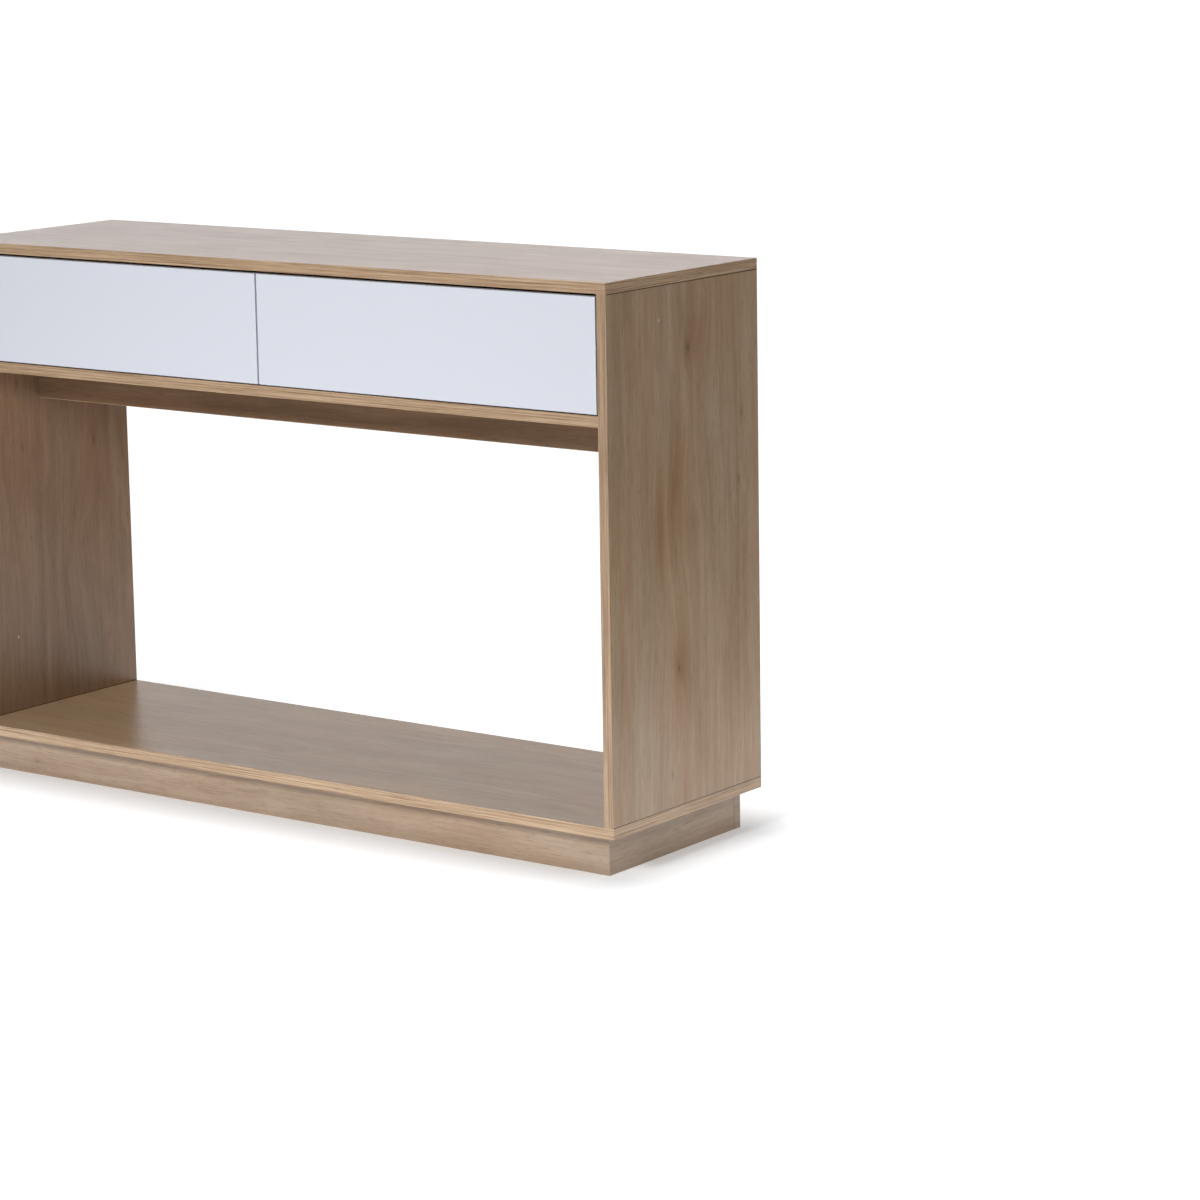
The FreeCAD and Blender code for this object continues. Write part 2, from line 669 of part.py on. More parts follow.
def make_stretcher_rail():
    """The rail that stiffens the shelf from below, with a band on its lower edge."""
    left, right = "-place.side_inner", "place.side_inner"
    rail = board(
        "stretcher_rail",
        (left, "place.rail_front", "place.rail_band"),
        (right, "place.rail_rear", "place.shelf_under"),
        "y",
    )
    for end, inward in ((right, -1), (left, 1)):
        rail.bore("x", end, inward, "size.cam_setback", SHANK_BORE, RAIL_BOLT)
        rail.bore("x", end, inward, DOWEL_LONG_DEPTH, DOWEL_BORE, RAIL_END_DOWELS)
    rail.bore("y", "place.rail_rear", -1, CAM_BORE_DEPTH, CAM_BORE, RAIL_CAMS)
    rail.bore("z", "place.shelf_under", -1, DOWEL_LONG_DEPTH, DOWEL_BORE, RAIL_TOP_DOWELS)
    strips("stretcher_rail_edge_band", [
        ((left, "place.rail_front", "place.rail_bottom"), (right, "place.rail_rear", "place.rail_band")),
    ])


def make_centre_divider():
    """The board between the drawers, with a band on its front edge."""
    left, right = "-place.divider_side", "place.divider_side"
    low, high = "place.shelf_top", "place.top_under"
    divider = board(
        "centre_divider", (left, "place.divider_band", low), (right, "place.back_front", high), "x"
    )
    divider.bore("z", high, -1, DOWEL_LONG_DEPTH, DOWEL_BORE, DIVIDER_JOINTS)
    divider.bore("z", low, 1, CONFIRMAT_THREAD_DEPTH, CONFIRMAT_THREAD_BORE, DIVIDER_JOINTS)
    for side, face, inward in (("right", right, -1), ("left", left, 1)):
        screws = pairs(SCREW_ROWS[side], ["place.runner_level"])
        divider.bore("x", face, inward, "size.runner_screw_length", SCREW_BORE, screws)
    strips("centre_divider_edge_band", [
        ((left, "place.divider_front", low), (right, "place.divider_band", high)),
    ])


def make_back_panel():
    board(
        "back_panel",
        ("-place.back_end", "place.back_front", "place.back_low"),
        ("place.back_end", "place.back_rear", "place.back_high"),
        "y",
    )


# ---------------------------------------------------------------- plinth

PLINTH_CORNERS = pairs(("left", "right"), ("front", "rear"))
RAIL_SCREW_DEPTH = "size.block_screw_length - size.corner_block + size.dowel_slack"


def make_plinth_front_rail():
    """The front rail, mitred to the side rails."""
    rail = Piece(
        "plinth_front_rail",
        ("-place.plinth_side", "place.plinth_front", "place.middle"),
        "z",
        [
            ("-place.plinth_side", "place.plinth_front"),
            ("place.plinth_side", "place.plinth_front"),
            ("place.plinth_side_inner", "place.plinth_front_inner"),
            ("-place.plinth_side_inner", "place.plinth_front_inner"),
        ],
        "size.plinth_height",
    )
    bore_plinth_rail(rail, "place.plinth_front_inner", -1)


def make_plinth_rear_rail():
    """The rear rail, which closes the square ends of the side rails with a bevelled groove."""
    end, bevelled = "place.plinth_side", "(place.plinth_side - size.plinth_bevel)"
    face = "place.plinth_rear_inner"
    rail = Piece(
        "plinth_rear_rail",
        (f"-{end}", face, "place.middle"),
        "z",
        [
            (f"-{end}", "place.plinth_rear"), (f"-{end}", f"{face} + size.plinth_bevel"),
            (f"-{bevelled}", face), (bevelled, face),
            (end, f"{face} + size.plinth_bevel"), (end, "place.plinth_rear"),
        ],
        "size.plinth_height",
    )
    bore_plinth_rail(rail, face, 1)


def bore_plinth_rail(rail, level, outward):
    """Bores in a long rail's inner face, for the cross brace and the corner blocks."""
    screws = pairs(both("place.block_screw_column"), ["place.block_screw_high"])
    rail.bore("y", level, outward, DOWEL_SHORT_DEPTH, DOWEL_BORE, BRACE_DOWEL)
    rail.bore("y", level, outward, RAIL_SCREW_DEPTH, SCREW_BORE, screws)


def make_plinth_side_rail(side):
    """A side rail, mitred at the front and bevelled where it meets the rear rail."""
    sign = "" if side == "right" else "-"
    rail = Piece(
        f"plinth_{side}_rail",
        (f"{sign}place.plinth_side", "place.plinth_front", "place.middle"),
        "z",
        [
            (f"{sign}place.plinth_side", "place.plinth_front"),
            (f"{sign}place.plinth_side", "place.plinth_rear_inner - size.plinth_bevel"),
            (f"{sign}(place.plinth_side - size.plinth_bevel)", "place.plinth_rear_inner"),
            (f"{sign}place.plinth_side_inner", "place.plinth_rear_inner"),
            (f"{sign}place.plinth_side_inner", "place.plinth_front_inner"),
        ],
        "size.plinth_height",
    )
    screws = pairs(["place.block_screw_front", "place.block_screw_rear"], ["place.block_screw_low"])
    outward = 1 if side == "right" else -1
    rail.bore("x", f"{sign}place.plinth_side_inner", outward, RAIL_SCREW_DEPTH, SCREW_BORE, screws)


def make_plinth_cross_brace():
    brace = board(
        "plinth_cross_brace",
        ("-place.divider_side", "place.plinth_front_inner", "place.middle"),
        ("place.divider_side", "place.plinth_rear_inner", "size.plinth_height"),
        "x",
    )
    brace.bore("y", "place.plinth_front_inner", 1, DOWEL_LONG_DEPTH, DOWEL_BORE, BRACE_DOWEL)
    brace.bore("y", "place.plinth_rear_inner", -1, DOWEL_LONG_DEPTH, DOWEL_BORE, BRACE_DOWEL)


def make_corner_block(side, end):
    """A timber block in a plinth corner, screwed to both rails and up into the bottom panel."""
    low_x, high_x = bay_places(side, "place.block_inner", "place.plinth_side_inner")
    rows = {
        "front": ("place.plinth_front_inner", "place.block_front_inner"),
        "rear": ("place.block_rear_inner", "place.plinth_rear_inner"),
    }
    low_y, high_y = rows[end]
    block = board(
        f"corner_block_{side}_{end}",
        (low_x, low_y, "place.block_low"), (high_x, high_y, "size.plinth_height"), "z",
    )
    outward = 1 if side == "right" else -1
    away = 1 if end == "rear" else -1
    inner_x = mirrored(side, "place.block_inner")
    inner_y = rows[end][1] if end == "front" else rows[end][0]
    column = mirrored(side, "place.block_screw_column")
    middle = (mirrored(side, "place.block_column"), f"place.block_{end}")
    block.countersink("x", inner_x, outward, [(f"place.block_screw_{end}", "place.block_screw_low")])
    block.countersink("y", inner_y, away, [(column, "place.block_screw_high")])
    block.countersink("z", "place.block_low", 1, [middle])
    return block.body


def make_corner_blocks():
    blocks = [make_corner_block(side, end) for side, end in PLINTH_CORNERS]
    compound = DOC.addObject("Part::Compound", "plinth_corner_blocks")
    compound.Label = "plinth_corner_blocks"
    compound.Links = blocks


# ---------------------------------------------------------------- drawers

CAM_LEVELS = ["place.box_cam_low", "place.box_cam_high"]
BACK_SCREWS = pairs(["place.box_screw_row"], ["place.box_screw_low", "place.box_screw_high"])
DRAWER_SCREWS = pairs(SCREW_ROWS["right"], ["place.runner_level"])


def make_drawer_front(side):
    """The white front with its four bands, bored for the cam bolts and grooved for the base."""
    low_x, high_x = bay_places(side, "place.front_inner_end", "place.front_outer_end")
    low_band, high_band = bay_places(side, "place.front_inner_band", "place.front_outer_band")
    face, back = "place.front_face", "place.front_back"
    low, high = "place.front_low", "place.front_high"
    core_low, core_high = "place.front_low_band", "place.front_high_band"
    front = board(
        f"{side}_drawer_front", (low_band, face, core_low), (high_band, back, core_high), "y"
    )
    front.bore(
        "y", back, -1, BOLT_BORE_DEPTH, BOLT_BORE, pairs(box_board_middles(side), CAM_LEVELS)
    )
    low_groove, high_groove = bay_places(side, "place.box_groove_inner", "place.box_groove_outer")
    front.recess(
        "y", back, -1, "size.groove_depth",
        (low_groove, "place.box_groove_low"), (high_groove, "place.box_groove_high"),
    )
    strips(f"{side}_drawer_front_edge_bands", [
        ((low_x, face, low), (high_x, back, core_low)),
        ((low_x, face, core_high), (high_x, back, high)),
        ((low_x, face, core_low), (low_band, back, core_high)),
        ((high_band, face, core_low), (high_x, back, core_high)),
    ])


def box_board_middles(side):
    """The middles of a drawer's two side boards."""
    return [mirrored(side, "place.box_inner_mid"), mirrored(side, "place.box_outer_mid")]


def box_walls(side):
    """A drawer's two side boards by hand, each as (outer face, inner face, way inwards)."""
    inner = ("place.box_inner_end", "place.box_inner_face")
    outer = ("place.box_outer_end", "place.box_outer_face")
    left, right = (inner, outer) if side == "right" else (outer, inner)
    return {
        "left": (mirrored(side, left[0]), mirrored(side, left[1]), 1),
        "right": (mirrored(side, right[0]), mirrored(side, right[1]), -1),
    }


def make_drawer_box(side):
    """Two side boards, a back board that sits on the base, and the base in its grooves."""
    walls = box_walls(side)
    for hand, (outer, inner, inward) in walls.items():
        low, high = (outer, inner) if inward > 0 else (inner, outer)
        wall = board(
            f"{side}_drawer_{hand}_board",
            (low, "place.front_back", "place.box_low"),
            (high, "place.box_rear", "place.box_high"),
            "x",
        )
        bolts = pairs([f"({low} + {high}) / 2"], CAM_LEVELS)
        wall.bore("y", "place.front_back", 1, "size.box_cam_setback", SHANK_BORE, bolts)
        wall.bore(
            "x", inner, -inward, "place.box_cam_depth + size.bore_slack",
            "size.box_cam_width + 2 * size.bore_slack", pairs(["place.box_cam_row"], CAM_LEVELS),
        )
        wall.bore("x", outer, inward, "size.runner_screw_length", SCREW_BORE, DRAWER_SCREWS)
        wall.recess(
            "x", inner, -inward, "size.groove_depth",
            ("place.front_back", "place.box_groove_low"), ("place.box_rear", "place.box_groove_high"),
        )
        wall.countersink("x", outer, inward, BACK_SCREWS)
    back = board(
        f"{side}_drawer_back_board",
        (walls["left"][1], "place.box_back_front", "place.box_base_high"),
        (walls["right"][1], "place.box_rear", "place.box_high"),
        "y",
    )
    depth = "size.box_screw_length - size.box_board + size.dowel_slack"
    for outer, inner, inward in walls.values():
        back.bore("x", inner, inward, depth, SCREW_BORE, BACK_SCREWS)
    low_x, high_x = bay_places(side, "place.box_base_inner", "place.box_base_outer")
    board(
        f"{side}_drawer_base",
        (low_x, "place.box_base_front", "place.box_base_low"),
        (high_x, "place.box_rear", "place.box_base_high"),
        "z",
    )


# ---------------------------------------------------------------- runners

STATIONS = [f"{row} - place.runner_start" for row in SCREW_ROWS["right"]]
SHIFTED_STATIONS = [f"{row} - place.runner_start" for row in SCREW_ROWS["left"]]


def channel(name, upper_half, start="place.middle", length="place.runner_length"):
    """A channel of (distance from the cabinet wall, height), symmetric about its middle.

    It lies along +Y from the runner's front end, and its lower half mirrors the upper one.
    """
    lower_half = [(across, f"-({up})") for across, up in reversed(upper_half)]
    return Piece(name, ("place.middle", start, "place.middle"), "y", upper_half + lower_half, length)


def make_cabinet_member():
    sheet, top = "size.runner_sheet", "place.cabinet_half"
    lip, edge = "place.cabinet_lip_start", "place.cabinet_edge"
    under = f"{top} - {sheet}"
    member = channel("cabinet_member_pattern", [
        (sheet, under), (lip, under), (lip, f"{under} - size.cabinet_lip"),
        (edge, f"{under} - size.cabinet_lip"), (edge, top), ("place.middle", top),
    ])
    member.countersink("x", sheet, -1, pairs(STATIONS + SHIFTED_STATIONS, ["place.middle"]))
    return member.body


def make_middle_member():
    start, top = "place.middle_start", "place.middle_half"
    lip, edge = "place.middle_lip_start", "place.middle_edge"
    under = f"{top} - size.runner_sheet"
    return channel("middle_member_pattern", [
        (f"{start} + size.runner_sheet", under), (lip, under), (lip, f"{under} - size.middle_lip"),
        (edge, f"{under} - size.middle_lip"), (edge, top), (start, top),
    ]).body


def make_drawer_member():
    top, web, edge = "place.drawer_half", "place.drawer_web", "place.drawer_edge"
    under = f"{top} - size.runner_sheet"
    member = channel("drawer_member_pattern", [
        (web, under), (edge, under), (edge, top), ("size.runner_width", top),
    ])
    member.countersink("x", web, 1, pairs(STATIONS, ["place.middle"]))
    return member.body


def make_cage(row):
    """A ball cage: a thin channel with two rows of balls in its holes, all as separate solids."""
    sheet = "size.cage_sheet"
    back, half, edge = (f"place.{row}_cage_{name}" for name in ("back", "half", "edge"))
    ball, setback, level = (f"place.{row}_ball{name}" for name in ("", "_setback", "_level"))
    cage = channel(
        f"{row}_cage_pattern",
        [(f"{back} + {sheet}", f"{half} - {sheet}"), (edge, f"{half} - {sheet}"),
         (edge, half), (back, half)],
        "place.cage_start", "size.cage_length",
    )
    steps = range(-int(number("size.balls_each_way")), int(number("size.balls_each_way")) + 1)
    centres = [(setback, f"place.runner_length / 2 + {step} * size.ball_pitch") for step in steps]
    cage.bore("z", half, -1, f"2 * {half}", f"{ball} + 2 * size.bore_slack", centres)
    DOC.recompute()
    sphere = Part.makeSphere(number(ball) / 2)
    middle, pitch = number("place.runner_length") / 2, number("size.ball_pitch")
    balls = [
        (sphere, shifted(Vector(number(setback), middle + step * pitch, height)))
        for step in steps
        for height in (number(level), -number(level))
    ]
    return [(cage.body.Shape, FreeCAD.Placement())] + balls


def shifted(point):
    return FreeCAD.Placement(point, FreeCAD.Rotation())


def both_hands(side, members):
    """A bay's two runners from one pattern: one on the divider, one turned over on the side."""
    outward = 1 if side == "right" else -1
    start, level = number("place.runner_start"), number("place.runner_level")
    turned_over = FreeCAD.Rotation(Vector(0, 1, 0), 180)
    hands = []
    for wall, way in (("place.divider_side", outward), ("place.side_inner", -outward)):
        point = Vector(outward * number(wall), start, level)
        hands.append(FreeCAD.Placement(point, FreeCAD.Rotation() if way > 0 else turned_over))
    return [(shape, hand.multiply(own)) for hand in hands for shape, own in members]


# ---------------------------------------------------------------- latches

MITRED = 1  # how a swept pipe turns a corner


def latch_screw_places(side):
    """The latch screws in plan."""
    columns = [mirrored(side, "place.latch_screw_near"), mirrored(side, "place.latch_screw_far")]
    return pairs(columns, ["place.latch_screw_front", "place.latch_screw_rear"])


def make_latch_housing(side):
    """A hat-shaped housing screwed to the shelf, bored from the front for its plunger."""
    middle = mirrored(side, "place.bay_centre")
    base, foot, roof = "place.shelf_top", "place.latch_foot_top", "place.latch_roof"
    half, wide = "size.latch_width / 2", "size.latch_foot_width / 2"
    housing = Piece(
        f"{side}_latch_housing",
        (middle, "place.latch_front", base),
        "y",
        [
            (f"{middle} - {wide}", base), (f"{middle} + {wide}", base),
            (f"{middle} + {wide}", foot), (f"{middle} + {half}", foot),
            (f"{middle} + {half}", roof), (f"{middle} - {half}", roof),
            (f"{middle} - {half}", foot), (f"{middle} - {wide}", foot),
        ],
        "size.latch_length",
    )
    housing.bore(
        "y", "place.latch_front", 1, "size.latch_bore_depth",
        "size.plunger_width + 2 * size.plunger_slack", [(middle, "place.latch_level")],
    )
    housing.countersink("z", foot, -1, latch_screw_places(side))


def make_latch_plunger(side):
    """A plunger with a broad tip, turned about its length and laid along the drawer's travel."""
    head, rod, ease = "size.plunger_head_width / 2", "size.plunger_width / 2", "size.plunger_ease"
    neck = "size.plunger_head_length"
    end = f"{neck} + size.plunger_length"
    plunger = turned(f"{side}_latch_plunger", [
        ("0", "0"), (f"{head} - {ease}", "0"), (head, ease), (head, neck), (rod, neck),
        (rod, end), ("0", end),
    ])
    tip = point_at(mirrored(side, "place.bay_centre"), "place.plunger_tip", "place.latch_level")
    plunger.Placement = aimed(tip, BACKWARD)


def make_latch_spring(side):
    """The coil spring behind the plunger: a round wire swept along short steps of its helix."""
    radius = (number("size.spring_width") - number("size.spring_wire")) / 2
    length = number("place.spring_end") - number("place.spring_start")
    steps_per_coil = int(number("size.spring_steps"))
    steps = int(number("size.spring_coils")) * steps_per_coil
    points = []
    for step in range(steps + 1):
        turn = 2 * math.pi * step / steps_per_coil
        points.append(Vector(radius * math.cos(turn), radius * math.sin(turn), length * step / steps))
    path = Part.makePolygon(points)
    circle = Part.Circle(points[0], points[1] - points[0], number("size.spring_wire") / 2)
    section = Part.Wire([circle.toShape()])
    spring = DOC.addObject("Part::Feature", f"{side}_latch_spring")
    spring.Label = f"{side}_latch_spring"
    spring.Shape = path.makePipeShell([section], True, False, MITRED)
    start = point_at(mirrored(side, "place.bay_centre"), "place.spring_start", "place.latch_level")
    spring.Placement = aimed(start, BACKWARD)


# ---------------------------------------------------------------- fasteners

def screw_pattern(name, length):
    """A countersunk screw, from the flat of its head at the origin towards +Z."""
    head, shank = "size.screw_head / 2", "size.screw_width / 2"
    neck = f"{head} - {shank}"
    return turned(name, [
        ("0", "0"), (head, "0"), (shank, neck), (shank, f"{length} - {shank}"), ("0", length),
    ])


def dowel_pattern():
    """A plain dowel with eased ends, its origin where the two boards meet."""
    radius, ease = "size.dowel_width / 2", "size.dowel_slack"
    short, long = "size.dowel_short", "size.dowel_long"
    return turned("dowel_pattern", [
        ("0", f"-{short}"), (f"{radius} - {ease}", f"-{short}"), (radius, f"{ease} - {short}"),
        (radius, f"{long} - {ease}"), (f"{radius} - {ease}", long), ("0", long),
    ])


def bolt_pattern(name, reach):
    """A cam bolt: thread below the joint plane, and a shank and head that reach into the cam."""
    thread, shank = "size.bolt_thread_width / 2", "size.bolt_shank_width / 2"
    head, head_start = "size.bolt_head_width / 2", f"{reach} - size.bolt_head_length"
    waist = f"{head_start} - size.bolt_head_length"
    return turned(name, [
        ("0", "-size.bolt_thread_length"), (thread, "-size.bolt_thread_length"), (thread, "0"),
        (shank, "0"), (shank, waist), (f"{shank} / 2", waist), (f"{shank} / 2", head_start),
        (head, head_start), (head, reach), ("0", reach),
    ])


def confirmat_pattern():
    head, shank = "size.confirmat_head_width / 2", "size.confirmat_shank_width / 2"
    thread, end = "size.confirmat_thread_width / 2", "size.confirmat_length"
    neck = "size.confirmat_head_length"
    return turned("confirmat_pattern", [
        ("0", "0"), (head, "0"), (head, neck), (shank, neck), (shank, "size.board"),
        (thread, "size.board"), (thread, f"{end} - {thread}"), ("0", end),
    ])


def cam_pattern(name, width, depth, axis_depth):
    """A cam lock: its face at the origin, its body along -Z, open towards +X for the bolt."""
    mouth = "size.bolt_head_width / 2 + size.bolt_head_slack"
    cam = DOC.addObject("PartDesign::Body", name)
    cam.Label = name
    disc = new_sketch(cam, "z", f"-({depth})")
    draw_circles(disc, [("0", "0")], width)
    add_pad(cam, disc, "z", depth)
    slot = new_sketch(cam, "z", f"-({depth})")
    draw_rectangle(slot, (f"-({mouth})", f"-({mouth})"), (width, mouth))
    add_pocket(cam, slot, "z", 1, f"{depth} - {axis_depth} + {mouth}")
    cross = new_sketch(cam, "z")
    draw_rectangle(cross, (f"-{width} / 4", f"-{width} / 16"), (f"{width} / 4", f"{width} / 16"))
    add_pocket(cam, cross, "z", -1, "size.cam_cross_depth")
    return cam


def facing(point, outward, bolt):
    """A placement that turns a cam's face outward and its open side towards the bolt."""
    return FreeCAD.Placement(point, FreeCAD.Rotation(bolt, Vector(), outward, "ZXY"))


def dowel_places():
    """Where each dowel stands, aimed into the board that takes its long end."""
    places = [aimed(point_at(x, y, "place.top_under"), DOWN) for x, y in SIDE_DOWELS + DIVIDER_JOINTS]
    places += [aimed(point_at(x, y, "place.base_top"), UP) for x, y in SIDE_DOWELS]
    places += [aimed(point_at(x, y, "place.shelf_under"), DOWN) for x, y in RAIL_TOP_DOWELS]
    for end, inward in (("place.side_inner", LEFTWARD), ("-place.side_inner", RIGHTWARD)):
        places += [aimed(point_at(end, y, z), inward) for y, z in SHELF_DOWELS + RAIL_END_DOWELS]
    for level, inward in (("place.plinth_front_inner", BACKWARD), ("place.plinth_rear_inner", FORWARD)):
        places += [aimed(point_at(x, level, z), inward) for x, z in BRACE_DOWEL]
    return places


def bolt_places():
    places = [aimed(point_at(x, y, "place.top_under"), DOWN) for x, y in SIDE_BOLTS]
    for end, inward in (("place.side_inner", LEFTWARD), ("-place.side_inner", RIGHTWARD)):
        places += [aimed(point_at(end, y, z), inward) for y, z in SHELF_BOLTS + RAIL_BOLT]
    return places


def cam_places():
    places = []
    for end, inward in (("place.side_inner", LEFTWARD), ("-place.side_inner", RIGHTWARD)):
        places += [facing(point_at(end, y, z), inward, UP) for y, z in SIDE_CAMS]
    for x, y in SHELF_CAMS:
        places.append(facing(point_at(x, y, "place.shelf_under"), DOWN, away_from_middle(x)))
    for x, z in RAIL_CAMS:
        places.append(facing(point_at(x, "place.rail_rear", z), BACKWARD, away_from_middle(x)))
    return places


def away_from_middle(text):
    return LEFTWARD if text.startswith("-") else RIGHTWARD


def confirmat_places():
    places = [aimed(point_at(x, y, "size.plinth_height"), UP) for x, y in SIDE_BOLTS]
    return places + [aimed(point_at(x, y, "place.shelf_under"), UP) for x, y in DIVIDER_JOINTS]


def plinth_screws(screw, long_screw):
    """The screws of the four corner blocks: two into the rails and one up into the bottom panel."""
    members = []
    for side, end in PLINTH_CORNERS:
        outward = RIGHTWARD if side == "right" else LEFTWARD
        away = BACKWARD if end == "rear" else FORWARD
        to_side = point_at(
            mirrored(side, "place.block_inner"), f"place.block_screw_{end}", "place.block_screw_low"
        )
        to_rail = point_at(
            mirrored(side, "place.block_screw_column"), f"place.block_{end}_inner",
            "place.block_screw_high",
        )
        lift = point_at(mirrored(side, "place.block_column"), f"place.block_{end}", "place.block_low")
        members.append((screw.Shape, aimed(to_side, outward)))
        members.append((screw.Shape, aimed(to_rail, away)))
        members.append((long_screw.Shape, aimed(lift, UP)))
    return members


def hardware_screws(runner_screw, latch_screw):
    """The screws that hold the cabinet members and the latches."""
    members = []
    for side in ("left", "right"):
        outward = RIGHTWARD if side == "right" else LEFTWARD
        for web, way in (("place.divider_web", -outward), ("place.side_web", outward)):
            for row in SCREW_ROWS[side]:
                point = point_at(mirrored(side, web), row, "place.runner_level")
                members.append((runner_screw.Shape, aimed(point, way)))
        for x, y in latch_screw_places(side):
            members.append((latch_screw.Shape, aimed(point_at(x, y, "place.latch_foot_top"), DOWN)))
    return members


def drawer_screws(side, runner_screw, box_screw):
    """The screws of one drawer: through its runner members, and into its back board."""
    outward = RIGHTWARD if side == "right" else LEFTWARD
    webs = (("place.divider_drawer_web", outward), ("place.side_drawer_web", -outward))
    members = []
    for web, way in webs:
        for row, level in DRAWER_SCREWS:
            point = point_at(mirrored(side, web), row, level)
            members.append((runner_screw.Shape, aimed(point, way)))
    for outer, inner, inward in box_walls(side).values():
        for row, level in BACK_SCREWS:
            point = point_at(outer, row, level)
            members.append((box_screw.Shape, aimed(point, RIGHTWARD * inward)))
    return members


def drawer_cam_fittings(side, bolt, cam):
    """The cam bolts that stand out of a drawer front, and the cams in its side boards."""
    members = []
    for x, z in pairs(box_board_middles(side), CAM_LEVELS):
        members.append((bolt.Shape, aimed(point_at(x, "place.front_back", z), BACKWARD)))
    for outer, inner, inward in box_walls(side).values():
        for level in CAM_LEVELS:
            point = point_at(inner, "place.box_cam_row", level)
            members.append((cam.Shape, facing(point, RIGHTWARD * inward, FORWARD)))
    return members


# ---------------------------------------------------------------- assembly and files

def make_patterns():
    """One of each repeated piece, which the groups copy."""
    patterns = {
        "dowel": dowel_pattern(),
        "bolt": bolt_pattern("cam_bolt_pattern", "size.cam_setback"),
        "box_bolt": bolt_pattern("box_bolt_pattern", "size.box_cam_setback"),
        "cam": cam_pattern("cam_pattern", "size.cam_width", "place.cam_depth", "size.board / 2"),
        "box_cam": cam_pattern(
            "box_cam_pattern", "size.box_cam_width", "place.box_cam_depth", "size.box_board / 2"
        ),
        "confirmat": confirmat_pattern(),
        "runner_screw": screw_pattern("runner_screw_pattern", "size.runner_screw_length"),
        "box_screw": screw_pattern("box_screw_pattern", "size.box_screw_length"),
        "block_screw": screw_pattern("block_screw_pattern", "size.block_screw_length"),
        "lift_screw": screw_pattern("lift_screw_pattern", "size.block_lift_screw_length"),
        "latch_screw": screw_pattern("latch_screw_pattern", "size.latch_screw_length"),
        "cabinet_member": make_cabinet_member(),
        "middle_member": make_middle_member(),
        "drawer_member": make_drawer_member(),
    }
    DOC.recompute()
    return patterns


def make_carcass(patterns):
    make_top_panel()
    make_bottom_panel()
    make_side_panel("left")
    make_side_panel("right")
    make_drawer_shelf()
    make_stretcher_rail()
    make_centre_divider()
    make_back_panel()
    make_plinth_front_rail()
    make_plinth_rear_rail()
    make_plinth_side_rail("left")
    make_plinth_side_rail("right")
    make_plinth_cross_brace()
    make_corner_blocks()
    group("wooden_dowels", [(patterns["dowel"].Shape, place) for place in dowel_places()])
    group("cam_bolts", [(patterns["bolt"].Shape, place) for place in bolt_places()])
    group("cam_locks", [(patterns["cam"].Shape, place) for place in cam_places()])
    group("confirmat_screws", [(patterns["confirmat"].Shape, place) for place in confirmat_places()])
    group("plinth_screws", plinth_screws(patterns["block_screw"], patterns["lift_screw"]))
    group("hardware_screws", hardware_screws(patterns["runner_screw"], patterns["latch_screw"]))


def make_drawer(side, patterns, outer_cage, inner_cage):
    """Everything of one drawer: its box, its runners and its latch."""
    make_drawer_front(side)
    make_drawer_box(side)
    for label, pattern in (
        ("cabinet_runner_members", "cabinet_member"),
        ("intermediate_runner_members", "middle_member"),
        ("drawer_runner_members", "drawer_member"),
    ):
        group(f"{side}_{label}", both_hands(side, [(patterns[pattern].Shape, FreeCAD.Placement())]))
    group(f"{side}_cabinet_side_ball_cages", both_hands(side, outer_cage))
    group(f"{side}_drawer_side_ball_cages", both_hands(side, inner_cage))
    group(
        f"{side}_drawer_screws",
        drawer_screws(side, patterns["runner_screw"], patterns["box_screw"]),
    )
    group(
        f"{side}_drawer_cam_fittings",
        drawer_cam_fittings(side, patterns["box_bolt"], patterns["box_cam"]),
    )
    make_latch_housing(side)
    make_latch_plunger(side)
    make_latch_spring(side)


def check(nodes):
    """Stops if a feature failed, a pocket cut nothing, or a node's shape is not usable."""
    for feature in DOC.Objects:
        if {"Invalid", "Error"} & set(feature.State):
            raise RuntimeError(f"{feature.Name} failed: {feature.State}")
        if feature.TypeId in ("PartDesign::Pocket", "PartDesign::Hole"):
            if feature.Shape.Volume >= feature.BaseFeature.Shape.Volume:
                raise RuntimeError(f"{feature.Name} cuts nothing")
    for node in nodes:
        if node.Shape.isNull() or not node.Shape.isValid():
            raise RuntimeError(f"{node.Label} has no valid shape")


def is_node(feature):
    """Whether an object is a sub-part: a body, compound or set shape that nothing else holds."""
    kinds = ("PartDesign::Body", "Part::Compound", "Part::Feature")
    held = any(parent.TypeId == "Part::Compound" for parent in feature.InList)
    return feature.TypeId in kinds and not feature.Label.endswith("_pattern") and not held


def main():
    patterns = make_patterns()
    outer_cage, inner_cage = make_cage("outer"), make_cage("inner")
    make_carcass(patterns)
    for side in ("left", "right"):
        make_drawer(side, patterns, outer_cage, inner_cage)
    DOC.recompute()
    nodes = [feature for feature in DOC.Objects if is_node(feature)]
    check(nodes)
    os.makedirs("parts", exist_ok=True)
    for node in nodes:
        node.Shape.exportStep(f"parts/{node.Label}.step")
    print(f"{len(nodes)} nodes written")


main()
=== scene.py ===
"""Console table: finishes, stage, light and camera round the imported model, in metres."""
import math

import bpy
from mathutils import Matrix, Vector


